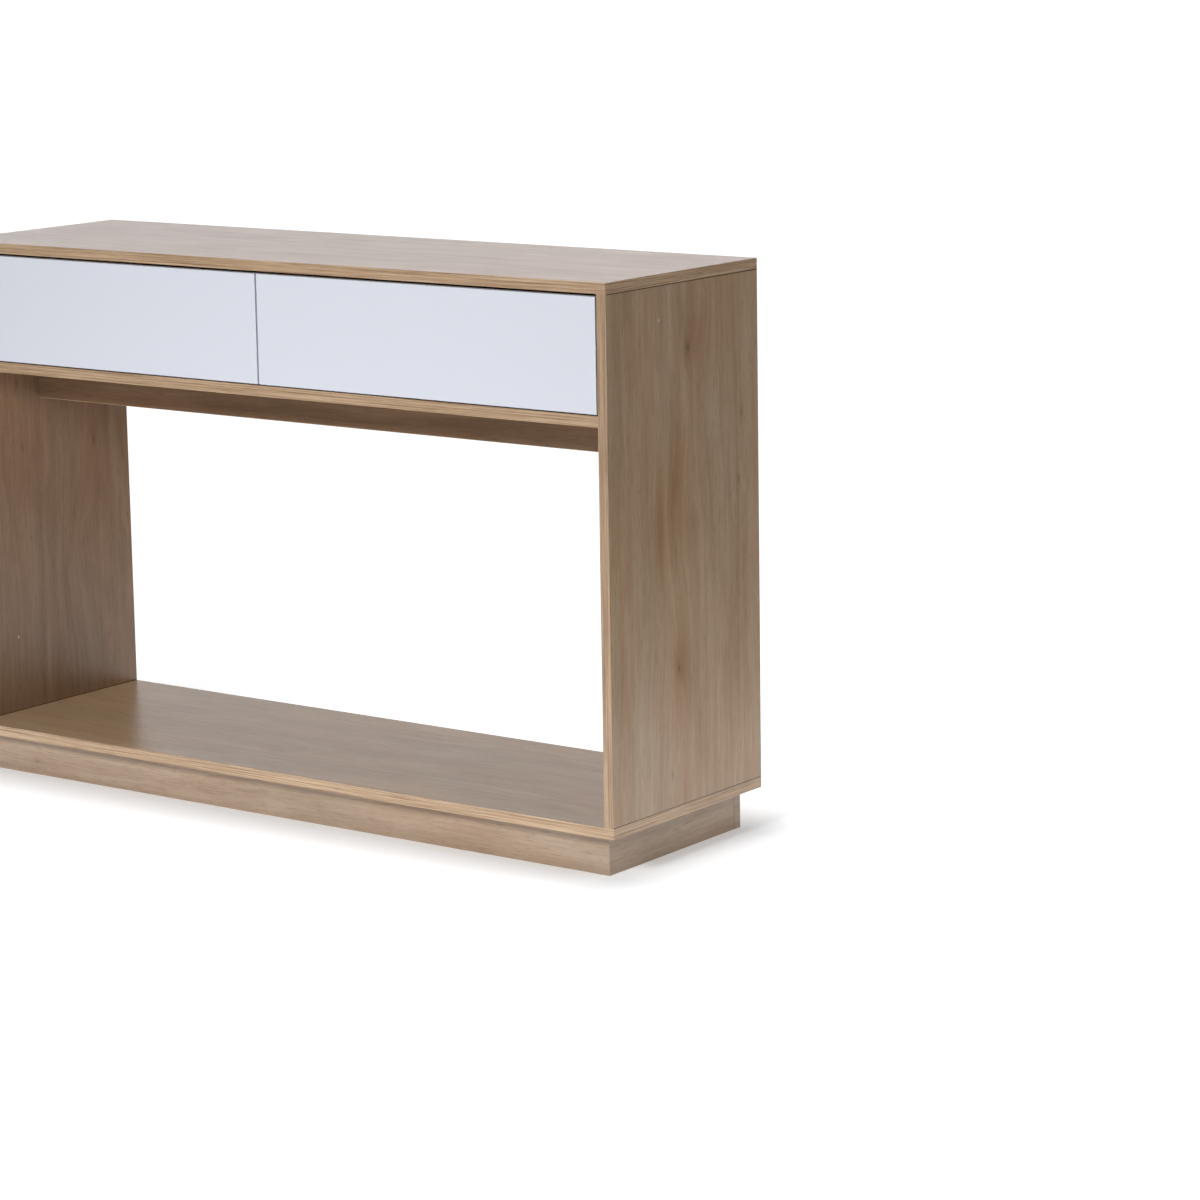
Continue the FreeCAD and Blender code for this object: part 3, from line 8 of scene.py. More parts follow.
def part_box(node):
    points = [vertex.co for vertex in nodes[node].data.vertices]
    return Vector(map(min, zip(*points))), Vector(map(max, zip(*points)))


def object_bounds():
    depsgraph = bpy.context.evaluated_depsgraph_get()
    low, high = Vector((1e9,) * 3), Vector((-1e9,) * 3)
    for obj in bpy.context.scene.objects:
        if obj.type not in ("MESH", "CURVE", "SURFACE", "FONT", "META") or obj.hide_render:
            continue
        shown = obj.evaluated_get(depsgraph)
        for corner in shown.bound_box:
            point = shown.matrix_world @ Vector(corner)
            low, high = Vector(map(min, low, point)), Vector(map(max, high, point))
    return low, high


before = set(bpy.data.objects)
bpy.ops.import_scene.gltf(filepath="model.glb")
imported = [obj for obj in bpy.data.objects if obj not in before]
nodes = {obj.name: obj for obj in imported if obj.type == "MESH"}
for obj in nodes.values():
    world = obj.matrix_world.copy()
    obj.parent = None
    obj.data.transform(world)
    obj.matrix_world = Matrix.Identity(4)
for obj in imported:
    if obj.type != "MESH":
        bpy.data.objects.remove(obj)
cad_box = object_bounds()

TOP_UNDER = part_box("top_panel")[0].z
BASE_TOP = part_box("bottom_panel")[1].z
PLINTH_HALF = (nodes["plinth_front_rail"].dimensions.x / 2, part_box("plinth_right_rail")[1].y)


# ---------------------------------------------------------------- node building

class Graph:
    """A node tree, with short calls for the nodes that the finishes and the studio use."""

    def __init__(self, tree):
        self.nodes = tree.nodes
        self.links = tree.links

    def feed(self, socket, value):
        """Links a socket, or sets its value if it's a plain one."""
        if isinstance(value, bpy.types.NodeSocket):
            self.links.new(value, socket)
        else:
            socket.default_value = value

    def node(self, kind, inputs=(), **settings):
        made = self.nodes.new(kind)
        for name, value in settings.items():
            setattr(made, name, value)
        for name, value in dict(inputs).items():
            self.feed(made.inputs[name], value)
        return made

    def parts(self, vector):
        split = self.node("ShaderNodeSeparateXYZ", {"Vector": vector})
        return split.outputs["X"], split.outputs["Y"], split.outputs["Z"]

    def joined(self, x, y, z):
        return self.node("ShaderNodeCombineXYZ", {"X": x, "Y": y, "Z": z}).outputs["Vector"]

    def scaled(self, places, scales):
        """A vector of three coordinates, each times its own scale."""
        return self.joined(*(self.maths("MULTIPLY", *pair) for pair in zip(places, scales)))

    def maths(self, operation, first, second=0.0):
        made = self.node("ShaderNodeMath", operation=operation)
        self.feed(made.inputs[0], first)
        self.feed(made.inputs[1], second)
        return made.outputs["Value"]

    def weighted(self, *shares):
        """The sum of some values, each given as (value, weight)."""
        total = None
        for value, weight in shares:
            share = self.maths("MULTIPLY", value, weight)
            total = share if total is None else self.maths("ADD", total, share)
        return total

    def noise(self, vector, scale, detail=3.0, roughness=0.5, distortion=0.0):
        made = self.node("ShaderNodeTexNoise", {
            "Vector": vector, "Scale": scale, "Detail": detail, "Roughness": roughness,
            "Distortion": distortion,
        })
        return made.outputs["Fac"]

    def lines(self, along, across, layer, **settings):
        """Noise drawn out into lines. A layer is its scale along them, across them, and a seed."""
        scale_along, scale_across, seed = layer
        u = self.maths("MULTIPLY", along, scale_along)
        v = self.maths("MULTIPLY", across, scale_across)
        return self.noise(self.joined(u, v, seed), 1.0, **settings)

    def waved(self, value, noise, reach):
        """The value moved to both sides by the noise."""
        offset = self.maths("MULTIPLY", self.maths("SUBTRACT", noise, 0.5), reach)
        return self.maths("ADD", value, offset)

    def spot(self, along, across, centre, size):
        """1 at the middle of an oval spot and 0 outside it; centre and size as (along, across)."""
        u = self.maths("DIVIDE", self.maths("SUBTRACT", along, centre[0]), size[0])
        v = self.maths("DIVIDE", self.maths("SUBTRACT", across, centre[1]), size[1])
        squared = self.maths("ADD", self.maths("MULTIPLY", u, u), self.maths("MULTIPLY", v, v))
        return self.maths("EXPONENT", self.maths("MULTIPLY", squared, -1.0))

    def ramp(self, value, low, high, out_low=0.0, out_high=1.0):
        """A smooth change from one level to another as the value goes from low to high."""
        made = self.node("ShaderNodeMapRange", {
            "Value": value, "From Min": low, "From Max": high, "To Min": out_low, "To Max": out_high,
        }, interpolation_type="SMOOTHSTEP")
        return made.outputs["Result"]

    def blend(self, factor, first, second, mode="MIX"):
        made = self.node("ShaderNodeMix", data_type="RGBA", blend_type=mode)
        self.feed(made.inputs["Factor"], factor)
        self.feed(made.inputs["A"], first)
        self.feed(made.inputs["B"], second)
        return made.outputs["Result"]


class Finish(Graph):
    """A material's node tree, with its shader."""

    def __init__(self, name):
        self.material = bpy.data.materials.new(name)
        self.material.use_nodes = True
        super().__init__(self.material.node_tree)
        self.shader = self.nodes["Principled BSDF"]

    def place(self):
        """The point in the table's own frame, which travels with its piece."""
        return self.node("ShaderNodeTexCoord").outputs["Object"]

    def emboss(self, height, distance, strength):
        made = self.node("ShaderNodeBump", {
            "Height": height, "Distance": distance, "Strength": strength,
        })
        self.links.new(made.outputs["Normal"], self.shader.inputs["Normal"])

    def done(self, colour, roughness, **sockets):
        """The material, once the shader has its colour, roughness and any other sockets."""
        self.feed(self.shader.inputs["Base Color"], colour)
        self.feed(self.shader.inputs["Roughness"], roughness)
        for name, value in sockets.items():
            self.feed(self.shader.inputs[name.replace("_", " ")], value)
        return self.material


# ---------------------------------------------------------------- wood decor

# Pale, middle and dark tones of the printed oak, and copies of them for different boards.
OAK = ((0.535, 0.382, 0.262, 1.0), (0.445, 0.306, 0.203, 1.0), (0.320, 0.206, 0.130, 1.0))
BROWN_OAK = ((0.496, 0.362, 0.243, 1.0), (0.424, 0.286, 0.176, 1.0), (0.308, 0.187, 0.100, 1.0))
# A darker copy for the left side panel and the stretcher rail: painted shade.
SHADED_OAK = ((0.364, 0.236, 0.148, 1.0), (0.288, 0.181, 0.109, 1.0), (0.194, 0.112, 0.064, 1.0))
# A greyer copy for the plinth rails, darker as painted shade.
GREY_SHADED_OAK = ((0.475, 0.358, 0.260, 1.0), (0.396, 0.288, 0.202, 1.0), (0.270, 0.183, 0.119, 1.0))
YELLOW_OAK = ((0.562, 0.410, 0.262, 1.0), (0.472, 0.331, 0.203, 1.0), (0.340, 0.223, 0.130, 1.0))
OAK_BAND = ((0.640, 0.462, 0.305, 1.0), (0.470, 0.315, 0.196, 1.0), (0.255, 0.148, 0.082, 1.0))
# A darker copy for the upright edge bands: painted shade.
SHADED_BAND = ((0.560, 0.402, 0.268, 1.0), (0.411, 0.274, 0.172, 1.0), (0.223, 0.129, 0.072, 1.0))

WARM_TINT = (1.02, 0.985, 0.965, 1.0)
GREY_TINT = (0.98, 1.0, 1.015, 1.0)
STAIN_TINT = (1.03, 0.89, 0.78, 1.0)
KNOT_COLOUR = (0.130, 0.070, 0.040, 1.0)
FLECK_COLOUR = (0.80, 0.76, 0.70, 1.0)
# The painted shade in the gaps where boards meet.
JOINT_SHADE_COLOUR = (0.050, 0.030, 0.018, 1.0)

# Which coordinates run along the grain, and across it on the face.
GRAINS = {"x": (0, 1), "x_upright": (0, 2), "y_upright": (1, 2), "z": (2, 1)}

# The decor's layers of lines, as Graph.lines takes them.
WAVES = (1.3, 6.0, 0.0)
RINGS = (0.6, 75.0, 5.0)
PATCHES = (4.5, 22.0, 3.0)
STREAKS = (9.0, 330.0, 1.0)
DASHES = (40.0, 640.0, 2.0)
HUES = (3.0, 16.0, 7.0)
BAND_WAVES = (3.0, 60.0, 0.0)
BAND_WIDE = (5.0, 640.0, 1.0)
BAND_FINE = (24.0, 1500.0, 2.0)

RING_WAVE = 0.055
BAND_WAVE = 0.0015
HEART_SIZE = (0.11, 0.030)

# A knot's parts as multiples of its length and width, and how far it pulls the rings.
KNOT_REACH = (2.4, 2.2)
KNOT_SHADE = (1.6, 1.5)
KNOT_CORE = (0.6, 0.5)
KNOT_PULL = 1.3

FLECK_SIZE = (0.0016, 0.0012)
JOINT_HALF = 0.0014
DARK_SHARE = 0.85
OAK_RELIEF = 0.00005
OAK_SHEEN = (0.29, 0.36)
BAND_RELIEF = 0.00004
BAND_SHEEN = (0.34, 0.42)


def bent_rings(graph, along, across, u, v, hearts, knots):
    """The coordinate across the growth rings: waved by noise, and pulled round hearts and knots."""
    wave = graph.lines(u, v, WAVES)
    ring = graph.waved(v, wave, RING_WAVE)
    for heart_along, heart_across, strength in hearts:
        pull = graph.spot(along, across, (heart_along, heart_across), HEART_SIZE)
        ring = graph.maths("ADD", ring, graph.maths("MULTIPLY", pull, strength))
    for knot_along, knot_across, length, width in knots:
        size = (length * KNOT_REACH[0], width * KNOT_REACH[1])
        pull = graph.spot(along, across, (knot_along, knot_across), size)
        ring = graph.maths("ADD", ring, graph.maths("MULTIPLY", pull, width * KNOT_PULL))
    return ring


def toned(graph, tone, tones, to_mid, to_dark):
    """Pale, middle or dark by the tone: each change runs from one tone value to another."""
    pale, mid, dark = tones
    colour = graph.blend(graph.ramp(tone, *to_mid), pale, mid)
    return graph.blend(graph.ramp(tone, *to_dark, 0.0, DARK_SHARE), colour, dark)


def marked(graph, colour, along, across, patches, pale, dark, stains, knots, flecks):
    """The colour with its brown or pale stains, its knots and its pale flecks."""
    rust = tuple(level * tint for level, tint in zip(dark, STAIN_TINT))
    for stain_along, stain_across, length, width, strength in stains:
        cover = graph.spot(along, across, (stain_along, stain_across), (length, width))
        cover = graph.maths("MULTIPLY", cover, graph.ramp(patches, 0.30, 0.60, 0.5, 1.0))
        cover = graph.maths("MULTIPLY", cover, abs(strength))
        colour = graph.blend(cover, colour, rust if strength > 0 else pale)
    for knot_along, knot_across, length, width in knots:
        centre = (knot_along, knot_across)
        shade, core = (
            graph.spot(along, across, centre, (length * part[0], width * part[1]))
            for part in (KNOT_SHADE, KNOT_CORE)
        )
        colour = graph.blend(graph.maths("MULTIPLY", shade, 0.45), colour, dark)
        colour = graph.blend(graph.maths("MULTIPLY", core, 0.60), colour, KNOT_COLOUR)
    for place in flecks:
        colour = graph.blend(graph.spot(along, across, place, FLECK_SIZE), colour, FLECK_COLOUR)
    return colour


def with_joint_shade(graph, colour, value, level):
    """The colour with a thin dark line of painted shade, for the gap between two boards, where the value
    meets the level.
    """
    distance = graph.maths("ABSOLUTE", graph.maths("SUBTRACT", value, level))
    line = graph.ramp(distance, JOINT_HALF * 0.6, JOINT_HALF, 1.0, 0.0)
    return graph.blend(line, colour, JOINT_SHADE_COLOUR)


def wood_board(name, grain, shift, tones=OAK, hearts=(), stains=(), knots=(), flecks=(), joints=()):
    """Printed oak decor with flat-sawn figure, streaks, pores and a fine emboss along the grain.

    Places are (along, across) in the table's frame. hearts are (along, across, strength) middles of
    the figure, stains are (along, across, length, width, strength) and pale where the strength is
    negative, knots are (along, across, length, width), flecks are (along, across), and joints are
    pairs of a coordinate's index and the level where two boards meet, where a thin dark line of
    painted shade marks their gap.
    """
    graph = Finish(name)
    pale, dark = tones[0], tones[-1]
    parts = graph.parts(graph.place())
    along, across = (parts[index] for index in GRAINS[grain])
    u = graph.maths("ADD", along, shift[0])
    v = graph.maths("ADD", across, shift[1])
    ring = bent_rings(graph, along, across, u, v, hearts, knots)

    # The figure: growth rings cut by the face, patches of them, and fine streaks.
    rings = graph.lines(u, ring, RINGS, detail=2.0)
    patches = graph.lines(u, ring, PATCHES, detail=4.0, roughness=0.6, distortion=0.6)
    streaks = graph.lines(u, ring, STREAKS, detail=4.0, roughness=0.7)
    tone = graph.weighted((rings, 0.26), (streaks, 0.34), (patches, 0.40))
    colour = toned(graph, tone, tones, (0.38, 0.54), (0.50, 0.68))

    # The pores: short dark dashes, with pale ones between them.
    dashes = graph.lines(u, v, DASHES, detail=2.0, roughness=0.55)
    pores = graph.ramp(dashes, 0.56, 0.70)
    pale_dashes = graph.ramp(dashes, 0.44, 0.32)
    colour = graph.blend(graph.maths("MULTIPLY", pores, 0.66), colour, dark)
    colour = graph.blend(graph.maths("MULTIPLY", pale_dashes, 0.45), colour, pale)

    hues = graph.lines(u, ring, HUES, detail=2.0)
    tint = graph.blend(graph.ramp(hues, 0.36, 0.64), WARM_TINT, GREY_TINT)
    colour = graph.blend(1.0, colour, tint, "MULTIPLY")
    colour = marked(graph, colour, along, across, patches, pale, dark, stains, knots, flecks)
    # Painted shade: a thin dark line in the gap where two boards meet.
    for index, level in joints:
        colour = with_joint_shade(graph, colour, parts[index], level)
    graph.emboss(graph.weighted((streaks, 0.6), (pores, -0.5)), OAK_RELIEF, 0.6)
    return graph.done(colour, graph.ramp(streaks, 0.35, 0.65, *OAK_SHEEN))


def wood_band(name, along, across, tones=OAK_BAND):
    """Edge banding: fine straight lines along the strip.

    along and across hold the indices of the coordinates that are added up for each.
    """
    graph = Finish(name)
    parts = graph.parts(graph.place())

    def total(indices):
        value = parts[indices[0]]
        for index in indices[1:]:
            value = graph.maths("ADD", value, parts[index])
        return value

    u, v = total(along), total(across)
    bent = graph.waved(v, graph.lines(u, v, BAND_WAVES), BAND_WAVE)
    wide = graph.lines(u, bent, BAND_WIDE, detail=2.0)
    fine = graph.lines(u, bent, BAND_FINE, roughness=0.65)
    tone = graph.weighted((wide, 0.6), (fine, 0.4))
    colour = toned(graph, tone, tones, (0.40, 0.52), (0.50, 0.64))
    graph.emboss(tone, BAND_RELIEF, 0.5)
    return graph.done(colour, graph.ramp(fine, 0.35, 0.65, *BAND_SHEEN))


# ---------------------------------------------------------------- other finishes

# How deep each surface's texture is.
PAINT_RELIEF = 0.00001
FIBRE_RELIEF = 0.00008
SCRATCH_RELIEF = 0.00001
MOULD_RELIEF = 0.00002
BEECH_RELIEF = 0.00006

# Scales along X, Y and Z: the beech's fibres run along Z.
BEECH_FLECKS = (700.0, 700.0, 90.0)
BEECH_RINGS = (1.0, 1.0, 0.1)


def painted_board(name, base, shade, roughness, orange_peel=260.0):
    """Smooth melamine: a faint cloudiness and a slight orange-peel surface."""
    graph = Finish(name)
    place = graph.place()
    cloud = graph.noise(place, 4.0, detail=4.0, roughness=0.6)
    speckle = graph.noise(place, 900.0, detail=2.0, roughness=0.6)
    tone = graph.weighted((cloud, 0.7), (speckle, 0.3))
    colour = graph.blend(graph.ramp(tone, 0.35, 0.65), base, shade)
    graph.emboss(graph.noise(place, orange_peel, detail=2.0), PAINT_RELIEF, 0.3)
    return graph.done(colour, graph.ramp(cloud, 0.3, 0.7, roughness, roughness + 0.05))


def hardboard(name, base, shade):
    """Thin fibreboard: short felted fibres in every direction."""
    graph = Finish(name)
    place = graph.place()
    fibres = graph.noise(place, 650.0, detail=5.0, roughness=0.75, distortion=1.5)
    cloud = graph.noise(place, 9.0)
    tone = graph.weighted((fibres, 0.85), (cloud, 0.15))
    colour = graph.blend(graph.ramp(tone, 0.36, 0.64), base, shade)
    graph.emboss(fibres, FIBRE_RELIEF, 0.6)
    return graph.done(colour, graph.ramp(fibres, 0.3, 0.7, 0.55, 0.75))


def plated_steel(name, base, shade, roughness, stretch):
    """Plated or drawn metal: fine scratches along its stretch, and a soft mottle."""
    graph = Finish(name)
    place = graph.place()
    scratches = graph.noise(graph.scaled(graph.parts(place), stretch), 1.0, detail=4.0, roughness=0.7)
    mottle = graph.noise(place, 120.0)
    tone = graph.weighted((scratches, 0.6), (mottle, 0.4))
    colour = graph.blend(graph.ramp(tone, 0.35, 0.65), base, shade)
    graph.emboss(scratches, SCRATCH_RELIEF, 0.5)
    sheen = graph.ramp(scratches, 0.3, 0.7, roughness, roughness + 0.16)
    return graph.done(colour, sheen, Metallic=1.0)


def moulded_plastic(name, base, shade):
    """Moulded plastic with a fine spark-eroded texture."""
    graph = Finish(name)
    place = graph.place()
    grains = graph.noise(place, 1800.0, detail=2.0, roughness=0.7)
    flow = graph.noise(place, 60.0, detail=2.0, distortion=0.8)
    colour = graph.blend(graph.ramp(flow, 0.3, 0.7), base, shade)
    graph.emboss(grains, MOULD_RELIEF, 0.5)
    return graph.done(colour, graph.ramp(grains, 0.3, 0.7, 0.42, 0.55))


def solid_beech(name, base, shade):
    """Solid beech: short flecks and faint rings."""
    graph = Finish(name)
    parts = graph.parts(graph.place())
    flecks = graph.noise(graph.scaled(parts, BEECH_FLECKS), 1.0, roughness=0.6)
    rings = graph.noise(graph.scaled(parts, BEECH_RINGS), 260.0, detail=2.0)
    tone = graph.weighted((flecks, 0.5), (rings, 0.5))
    colour = graph.blend(graph.ramp(tone, 0.38, 0.62), base, shade)
    graph.emboss(flecks, BEECH_RELIEF, 0.6)
    return graph.done(colour, 0.6)


# ---------------------------------------------------------------- finishes by node

UP = 2
# Where the side panels meet the top and the bottom panel: a thin line of painted shade for the gap.
SIDE_JOINTS = ((UP, TOP_UNDER), (UP, BASE_TOP))

BOARDS = {
    "right_side_panel": wood_board(
        "oak_right_side", "z", (0.0, 0.0), BROWN_OAK,
        hearts=((0.428, -0.028, 0.030), (0.369, -0.040, -0.022), (0.60, 0.05, 0.02)),
        stains=((0.529, -0.025, 0.060, 0.016, 0.75), (0.453, -0.056, 0.060, 0.014, 0.75),
                (0.281, 0.059, 0.060, 0.008, -0.8), (0.264, -0.020, 0.045, 0.020, 0.65),
                (0.700, 0.020, 0.050, 0.030, 0.4), (0.10, 0.060, 0.14, 0.10, 0.22)),
        knots=((0.696, 0.009, 0.010, 0.007), (0.593, 0.134, 0.009, 0.003), (0.503, 0.126, 0.008, 0.003),
               (0.264, -0.020, 0.010, 0.006), (0.120, -0.038, 0.006, 0.002)),
        flecks=((0.739, -0.057),),
        joints=SIDE_JOINTS,
    ),
    "left_side_panel": wood_board(
        "oak_left_side", "z", (3.7, 1.3), SHADED_OAK,
        hearts=((0.30, 0.060, 0.03),),
        knots=((0.475, -0.055, 0.006, 0.0025), (0.574, -0.062, 0.010, 0.003), (0.469, 0.099, 0.008, 0.003)),
        flecks=((0.188, -0.080),),
        joints=SIDE_JOINTS,
    ),
    "top_panel": wood_board(
        "oak_top", "x", (7.1, 2.4),
        hearts=((-0.22, 0.05, 0.03), (0.3, -0.06, -0.03)),
        stains=((-0.005, -0.086, 0.05, 0.012, 0.5), (-0.222, 0.052, 0.07, 0.014, 0.5),
                (-0.368, 0.023, 0.06, 0.012, 0.5)),
    ),
    "bottom_panel": wood_board(
        "oak_bottom", "x", (1.9, 5.2), YELLOW_OAK,
        hearts=((0.1, 0.02, 0.03), (-0.4, -0.05, 0.03)),
    ),
    "drawer_shelf": wood_board("oak_shelf", "x", (4.4, 8.3)),
    "stretcher_rail": wood_board("oak_rail", "x_upright", (2.3, 6.6), SHADED_OAK),
    "centre_divider": wood_board("oak_divider", "y_upright", (5.5, 3.1)),
    "plinth_front_rail": wood_board(
        "oak_plinth_front", "x_upright", (9.2, 0.7), GREY_SHADED_OAK,
        knots=((-0.489, 0.020, 0.006, 0.002),),
    ),
    "plinth_rear_rail": wood_board("oak_plinth_rear", "x_upright", (6.8, 1.9), GREY_SHADED_OAK),
    "plinth_left_rail": wood_board("oak_plinth_left", "y_upright", (8.4, 4.6), GREY_SHADED_OAK),
    "plinth_right_rail": wood_board("oak_plinth_right", "y_upright", (3.9, 7.7), GREY_SHADED_OAK),
    "plinth_cross_brace": wood_board("oak_brace", "y_upright", (0.6, 9.4)),
}

RING_BAND = wood_band("oak_band_round", (0, 1), (2,))
UPRIGHT_BAND = wood_band("oak_band_upright", (2,), (0, 1), SHADED_BAND)
LONG_BAND = wood_band("oak_band_long", (0,), (1, 2))
BANDS = {
    "top_panel_edge_bands": RING_BAND,
    "bottom_panel_edge_bands": RING_BAND,
    "left_side_edge_bands": UPRIGHT_BAND,
    "right_side_edge_bands": UPRIGHT_BAND,
    "centre_divider_edge_band": UPRIGHT_BAND,
    "drawer_shelf_edge_bands": LONG_BAND,
    "stretcher_rail_edge_band": LONG_BAND,
}

WHITE = painted_board("white_front", (0.799, 0.824, 0.899, 1.0), (0.795, 0.820, 0.895, 1.0), 0.30)
WHITE_BAND = painted_board("white_band", (0.799, 0.824, 0.899, 1.0), (0.785, 0.810, 0.885, 1.0), 0.34)
BOX_BOARD = painted_board(
    "drawer_board", (0.62, 0.62, 0.60, 1.0), (0.57, 0.57, 0.55, 1.0), 0.42, orange_peel=420.0,
)
BASE_BOARD = painted_board(
    "drawer_base_board", (0.64, 0.64, 0.62, 1.0), (0.59, 0.59, 0.57, 1.0), 0.48, orange_peel=520.0,
)
HARDBOARD = hardboard("hardboard", (0.36, 0.24, 0.15, 1.0), (0.24, 0.15, 0.09, 1.0))
RUNNER = plated_steel(
    "runner_steel", (0.60, 0.61, 0.63, 1.0), (0.50, 0.51, 0.54, 1.0), 0.26, stretch=(300, 12, 900),
)
SCREW = plated_steel(
    "screw_steel", (0.66, 0.64, 0.58, 1.0), (0.52, 0.50, 0.44, 1.0), 0.30, stretch=(500, 500, 500),
)
ZINC = plated_steel(
    "fitting_zinc", (0.56, 0.56, 0.55, 1.0), (0.44, 0.44, 0.43, 1.0), 0.38, stretch=(400, 400, 400),
)
SPRING = plated_steel(
    "spring_steel", (0.60, 0.60, 0.61, 1.0), (0.46, 0.46, 0.48, 1.0), 0.22, stretch=(900, 900, 900),
)
PLASTIC = moulded_plastic("latch_plastic", (0.33, 0.33, 0.34, 1.0), (0.27, 0.27, 0.28, 1.0))
BEECH = solid_beech("beech", (0.62, 0.43, 0.29, 1.0), (0.46, 0.28, 0.17, 1.0))

BY_ENDING = {
    "drawer_front": WHITE, "drawer_front_edge_bands": WHITE_BAND,
    "drawer_left_board": BOX_BOARD, "drawer_right_board": BOX_BOARD, "drawer_back_board": BOX_BOARD,
    "drawer_base": BASE_BOARD, "back_panel": HARDBOARD,
    "runner_members": RUNNER, "ball_cages": RUNNER,
    "screws": SCREW, "fittings": ZINC, "cam_bolts": ZINC, "cam_locks": ZINC,
    "wooden_dowels": BEECH, "plinth_corner_blocks": BEECH,
    "latch_housing": PLASTIC, "latch_plunger": PLASTIC, "latch_spring": SPRING,
}

EASED_WIDTH = 0.0003
EASED_STEPS = 2
EASED_ANGLE = math.radians(50)


def finish_of(name):
    """The finish of a node, by its own name or by how its name ends."""
    named = BOARDS.get(name) or BANDS.get(name)
    return named or next(finish for ending, finish in BY_ENDING.items() if name.endswith(ending))


def dress(name, node):
    node.data.materials.clear()
    node.data.materials.append(finish_of(name))


def ease_edges(node):
    """A small rounding along the sharp edges, which only catches the light."""
    bevel = node.modifiers.new("eased_edges", "BEVEL")
    bevel.width = EASED_WIDTH
    bevel.segments = EASED_STEPS
    bevel.limit_method = "ANGLE"
    bevel.angle_limit = EASED_ANGLE
    bevel.harden_normals = False


for name, node in nodes.items():
    dress(name, node)
for name in (*BOARDS, *BANDS):
    ease_edges(nodes[name])


# ---------------------------------------------------------------- floor

FLOOR_RADIUS = 1.3
FLOOR_SIDES = 96
FLOOR_BASE = (0.835, 0.86, 0.89, 1.0)
FLOOR_SHADE = (0.815, 0.84, 0.87, 1.0)

# The floor's painted glow at the plinth, at the near distance and at the far one: the low glow at the
# plinth paints a contact shadow.
FOOT_SHADOW_GLOW, NEAR_GLOW, FAR_GLOW = 0.24, 0.74, 0.92
NEAR, FAR = 0.15, 1.10


def make_floor():
    """A pale round floor just under the plinth; past its rim the white studio takes over."""
    turns = [2 * math.pi * index / FLOOR_SIDES for index in range(FLOOR_SIDES)]
    rim = [(FLOOR_RADIUS * math.cos(turn), FLOOR_RADIUS * math.sin(turn), 0) for turn in turns]
    mesh = bpy.data.meshes.new("floor")
    mesh.from_pydata(rim, [], [tuple(range(FLOOR_SIDES))])
    floor = bpy.data.objects.new("floor", mesh)
    floor.location.z = cad_box[0].z
    bpy.context.scene.collection.objects.link(floor)
    floor.data.materials.append(floor_finish())


def floor_finish():
    """A faint grain, and a painted glow that rises with the distance from the plinth's outline, so that it
    paints a soft contact shadow round the plinth.
    """
    graph = Finish("studio_floor")
    place = graph.place()
    squares = []
    for value, half in zip(graph.parts(place), PLINTH_HALF):
        out = graph.maths("SUBTRACT", graph.maths("ABSOLUTE", value), half)
        out = graph.maths("MAXIMUM", out, 0.0)
        squares.append(graph.maths("MULTIPLY", out, out))
    away = graph.maths("SQRT", graph.maths("ADD", *squares))
    # Painted light: the floor glows, least at the plinth, which paints its contact shadow.
    glow = graph.maths(
        "ADD", graph.ramp(away, 0.0, NEAR, FOOT_SHADOW_GLOW, NEAR_GLOW),
        graph.ramp(away, NEAR, FAR, 0.0, FAR_GLOW - NEAR_GLOW),
    )
    grain = graph.noise(place, 30.0, detail=4.0)
    colour = graph.blend(graph.ramp(grain, 0.3, 0.7), FLOOR_BASE, FLOOR_SHADE)
    return graph.done(colour, 0.85, Emission_Color=(1.0, 1.0, 1.0, 1.0), Emission_Strength=glow)


# ---------------------------------------------------------------- light

# The bright wall: the way to its middle, how nearly a direction faces it, and how high it fades out.
WALL_WAY = (-0.62, 0.78, 0.0)
WALL_SPREAD = (0.45, 0.85)
WALL_FADE = (0.06, 0.36)
WALL_LIGHT = 2.2
STUDIO_LIGHT = 0.02
STUDIO_COLOUR = (0.98, 0.99, 1.03, 1.0)
BACKDROP_COLOUR = (1.0, 1.0, 1.0, 1.0)
BACKDROP_LIGHT = 1.1

# Each softbox: where it stands, what it's aimed at, its width and its power.
LAMPS = {
    "key": ((0.6, -4.0, 2.35), (0.0, -0.1, 0.45), 0.9, 124),
    "overhead": ((-0.2, 0.2, 3.4), (0.0, 0.0, 0.0), 3.0, 25),
    "right": ((2.0, 0.1, 1.5), (0.6, 0.0, 0.5), 1.0, 10),
}


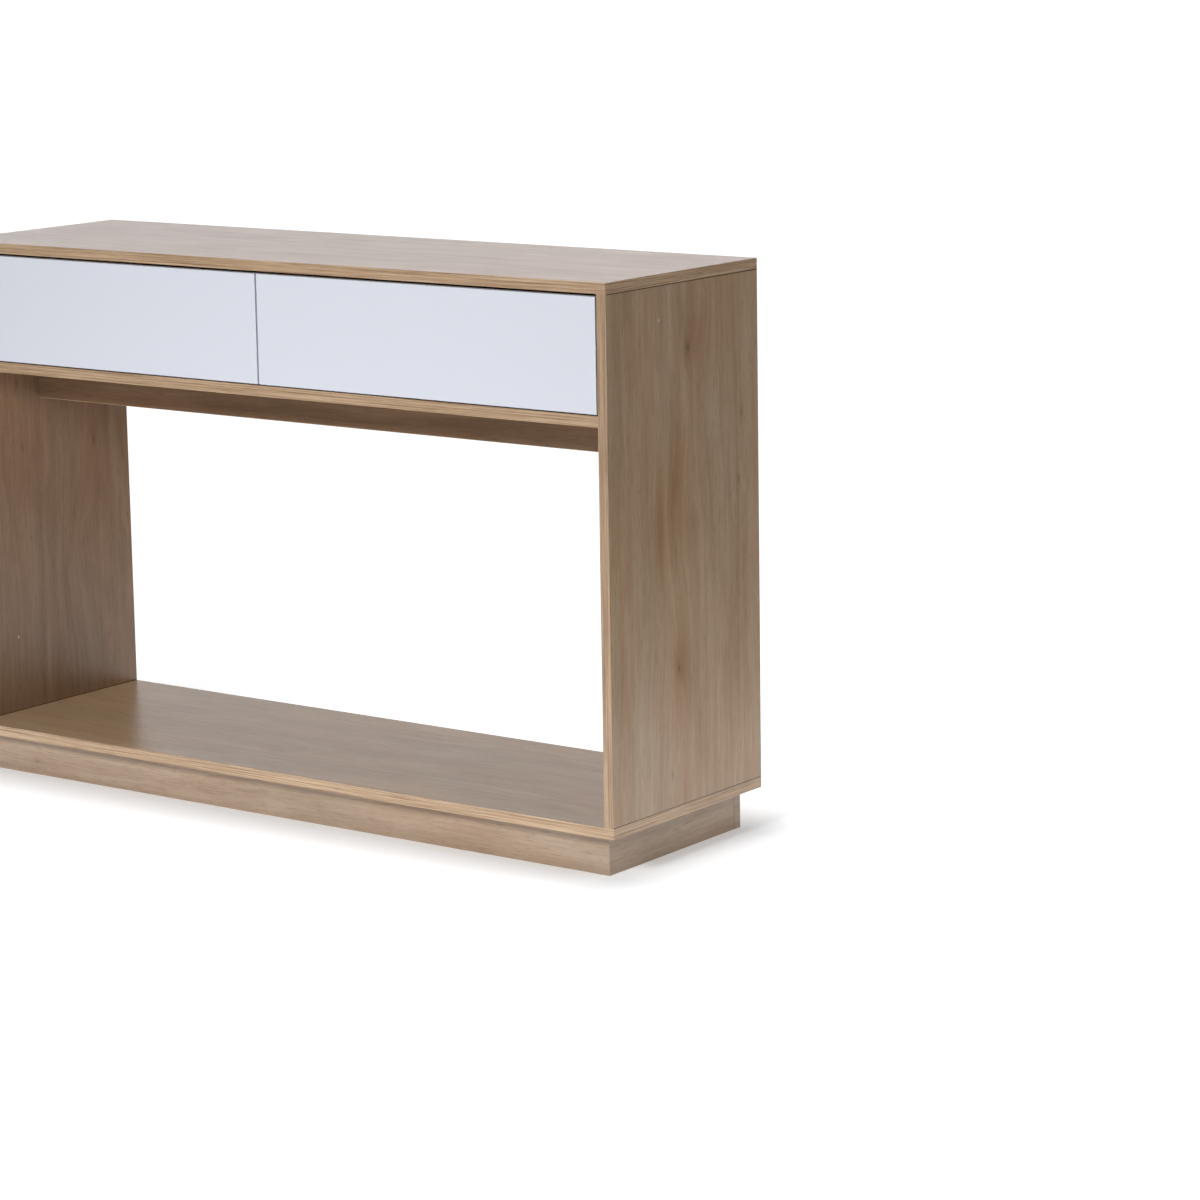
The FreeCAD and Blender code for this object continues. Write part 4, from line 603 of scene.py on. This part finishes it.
def make_world():
    """A white studio: a bright wall low behind on the left, and dim elsewhere."""
    world = bpy.data.worlds.new("studio")
    bpy.context.scene.world = world
    world.use_nodes = True
    graph = Graph(world.node_tree)
    direction = graph.node("ShaderNodeTexCoord").outputs["Generated"]
    toward = graph.node("ShaderNodeVectorMath", {0: direction, 1: WALL_WAY}, operation="DOT_PRODUCT")
    height = graph.parts(direction)[2]
    low_down = graph.ramp(height, *WALL_FADE, 1.0, 0.0)
    facing = graph.ramp(toward.outputs["Value"], *WALL_SPREAD, 0.0, WALL_LIGHT)
    level = graph.maths("ADD", graph.maths("MULTIPLY", low_down, facing), STUDIO_LIGHT)
    light = graph.node("ShaderNodeBackground", {"Color": STUDIO_COLOUR, "Strength": level})
    seen = graph.node("ShaderNodeBackground", {"Color": BACKDROP_COLOUR, "Strength": BACKDROP_LIGHT})
    camera_ray = graph.node("ShaderNodeLightPath").outputs["Is Camera Ray"]
    mix = graph.node("ShaderNodeMixShader", {
        "Fac": camera_ray, 1: light.outputs["Background"], 2: seen.outputs["Background"],
    })
    graph.feed(graph.nodes["World Output"].inputs["Surface"], mix.outputs["Shader"])


def make_lamp(name, place, target, size, power):
    """A square softbox aimed at a point."""
    lamp = bpy.data.lights.new(name, "AREA")
    lamp.shape = "SQUARE"
    lamp.size = size
    lamp.energy = power
    holder = bpy.data.objects.new(name, lamp)
    holder.location = place
    holder.rotation_mode = "QUATERNION"
    holder.rotation_quaternion = (Vector(target) - Vector(place)).to_track_quat("-Z", "Y")
    holder.visible_camera = False
    bpy.context.scene.collection.objects.link(holder)


# ---------------------------------------------------------------- camera

CAMERA_PLACE = (3.4972, -4.1204, 1.3457)
CAMERA_YAW, CAMERA_PITCH, CAMERA_ROLL = 36.429, 10.215, -0.916
CAMERA_LENS = 114.35
CAMERA_SHIFT = -0.05
CAMERA_REACH = 100


def make_camera():
    """A long lens from the front right, a little above the top."""
    camera = bpy.data.cameras.new("camera")
    camera.lens = CAMERA_LENS
    camera.shift_y = CAMERA_SHIFT
    camera.clip_end = CAMERA_REACH
    holder = bpy.data.objects.new("camera", camera)
    turn = Matrix.Rotation(math.radians(CAMERA_YAW), 3, "Z")
    tilt = Matrix.Rotation(math.radians(90 - CAMERA_PITCH), 3, "X")
    roll = Matrix.Rotation(math.radians(CAMERA_ROLL), 3, "Z")
    holder.location = CAMERA_PLACE
    holder.rotation_mode = "QUATERNION"
    holder.rotation_quaternion = (turn @ tilt @ roll).to_quaternion()
    bpy.context.scene.collection.objects.link(holder)
    bpy.context.scene.camera = holder


make_floor()
make_world()
for name, settings in LAMPS.items():
    make_lamp(name, *settings)
make_camera()
bpy.context.scene.view_settings.view_transform = "Standard"
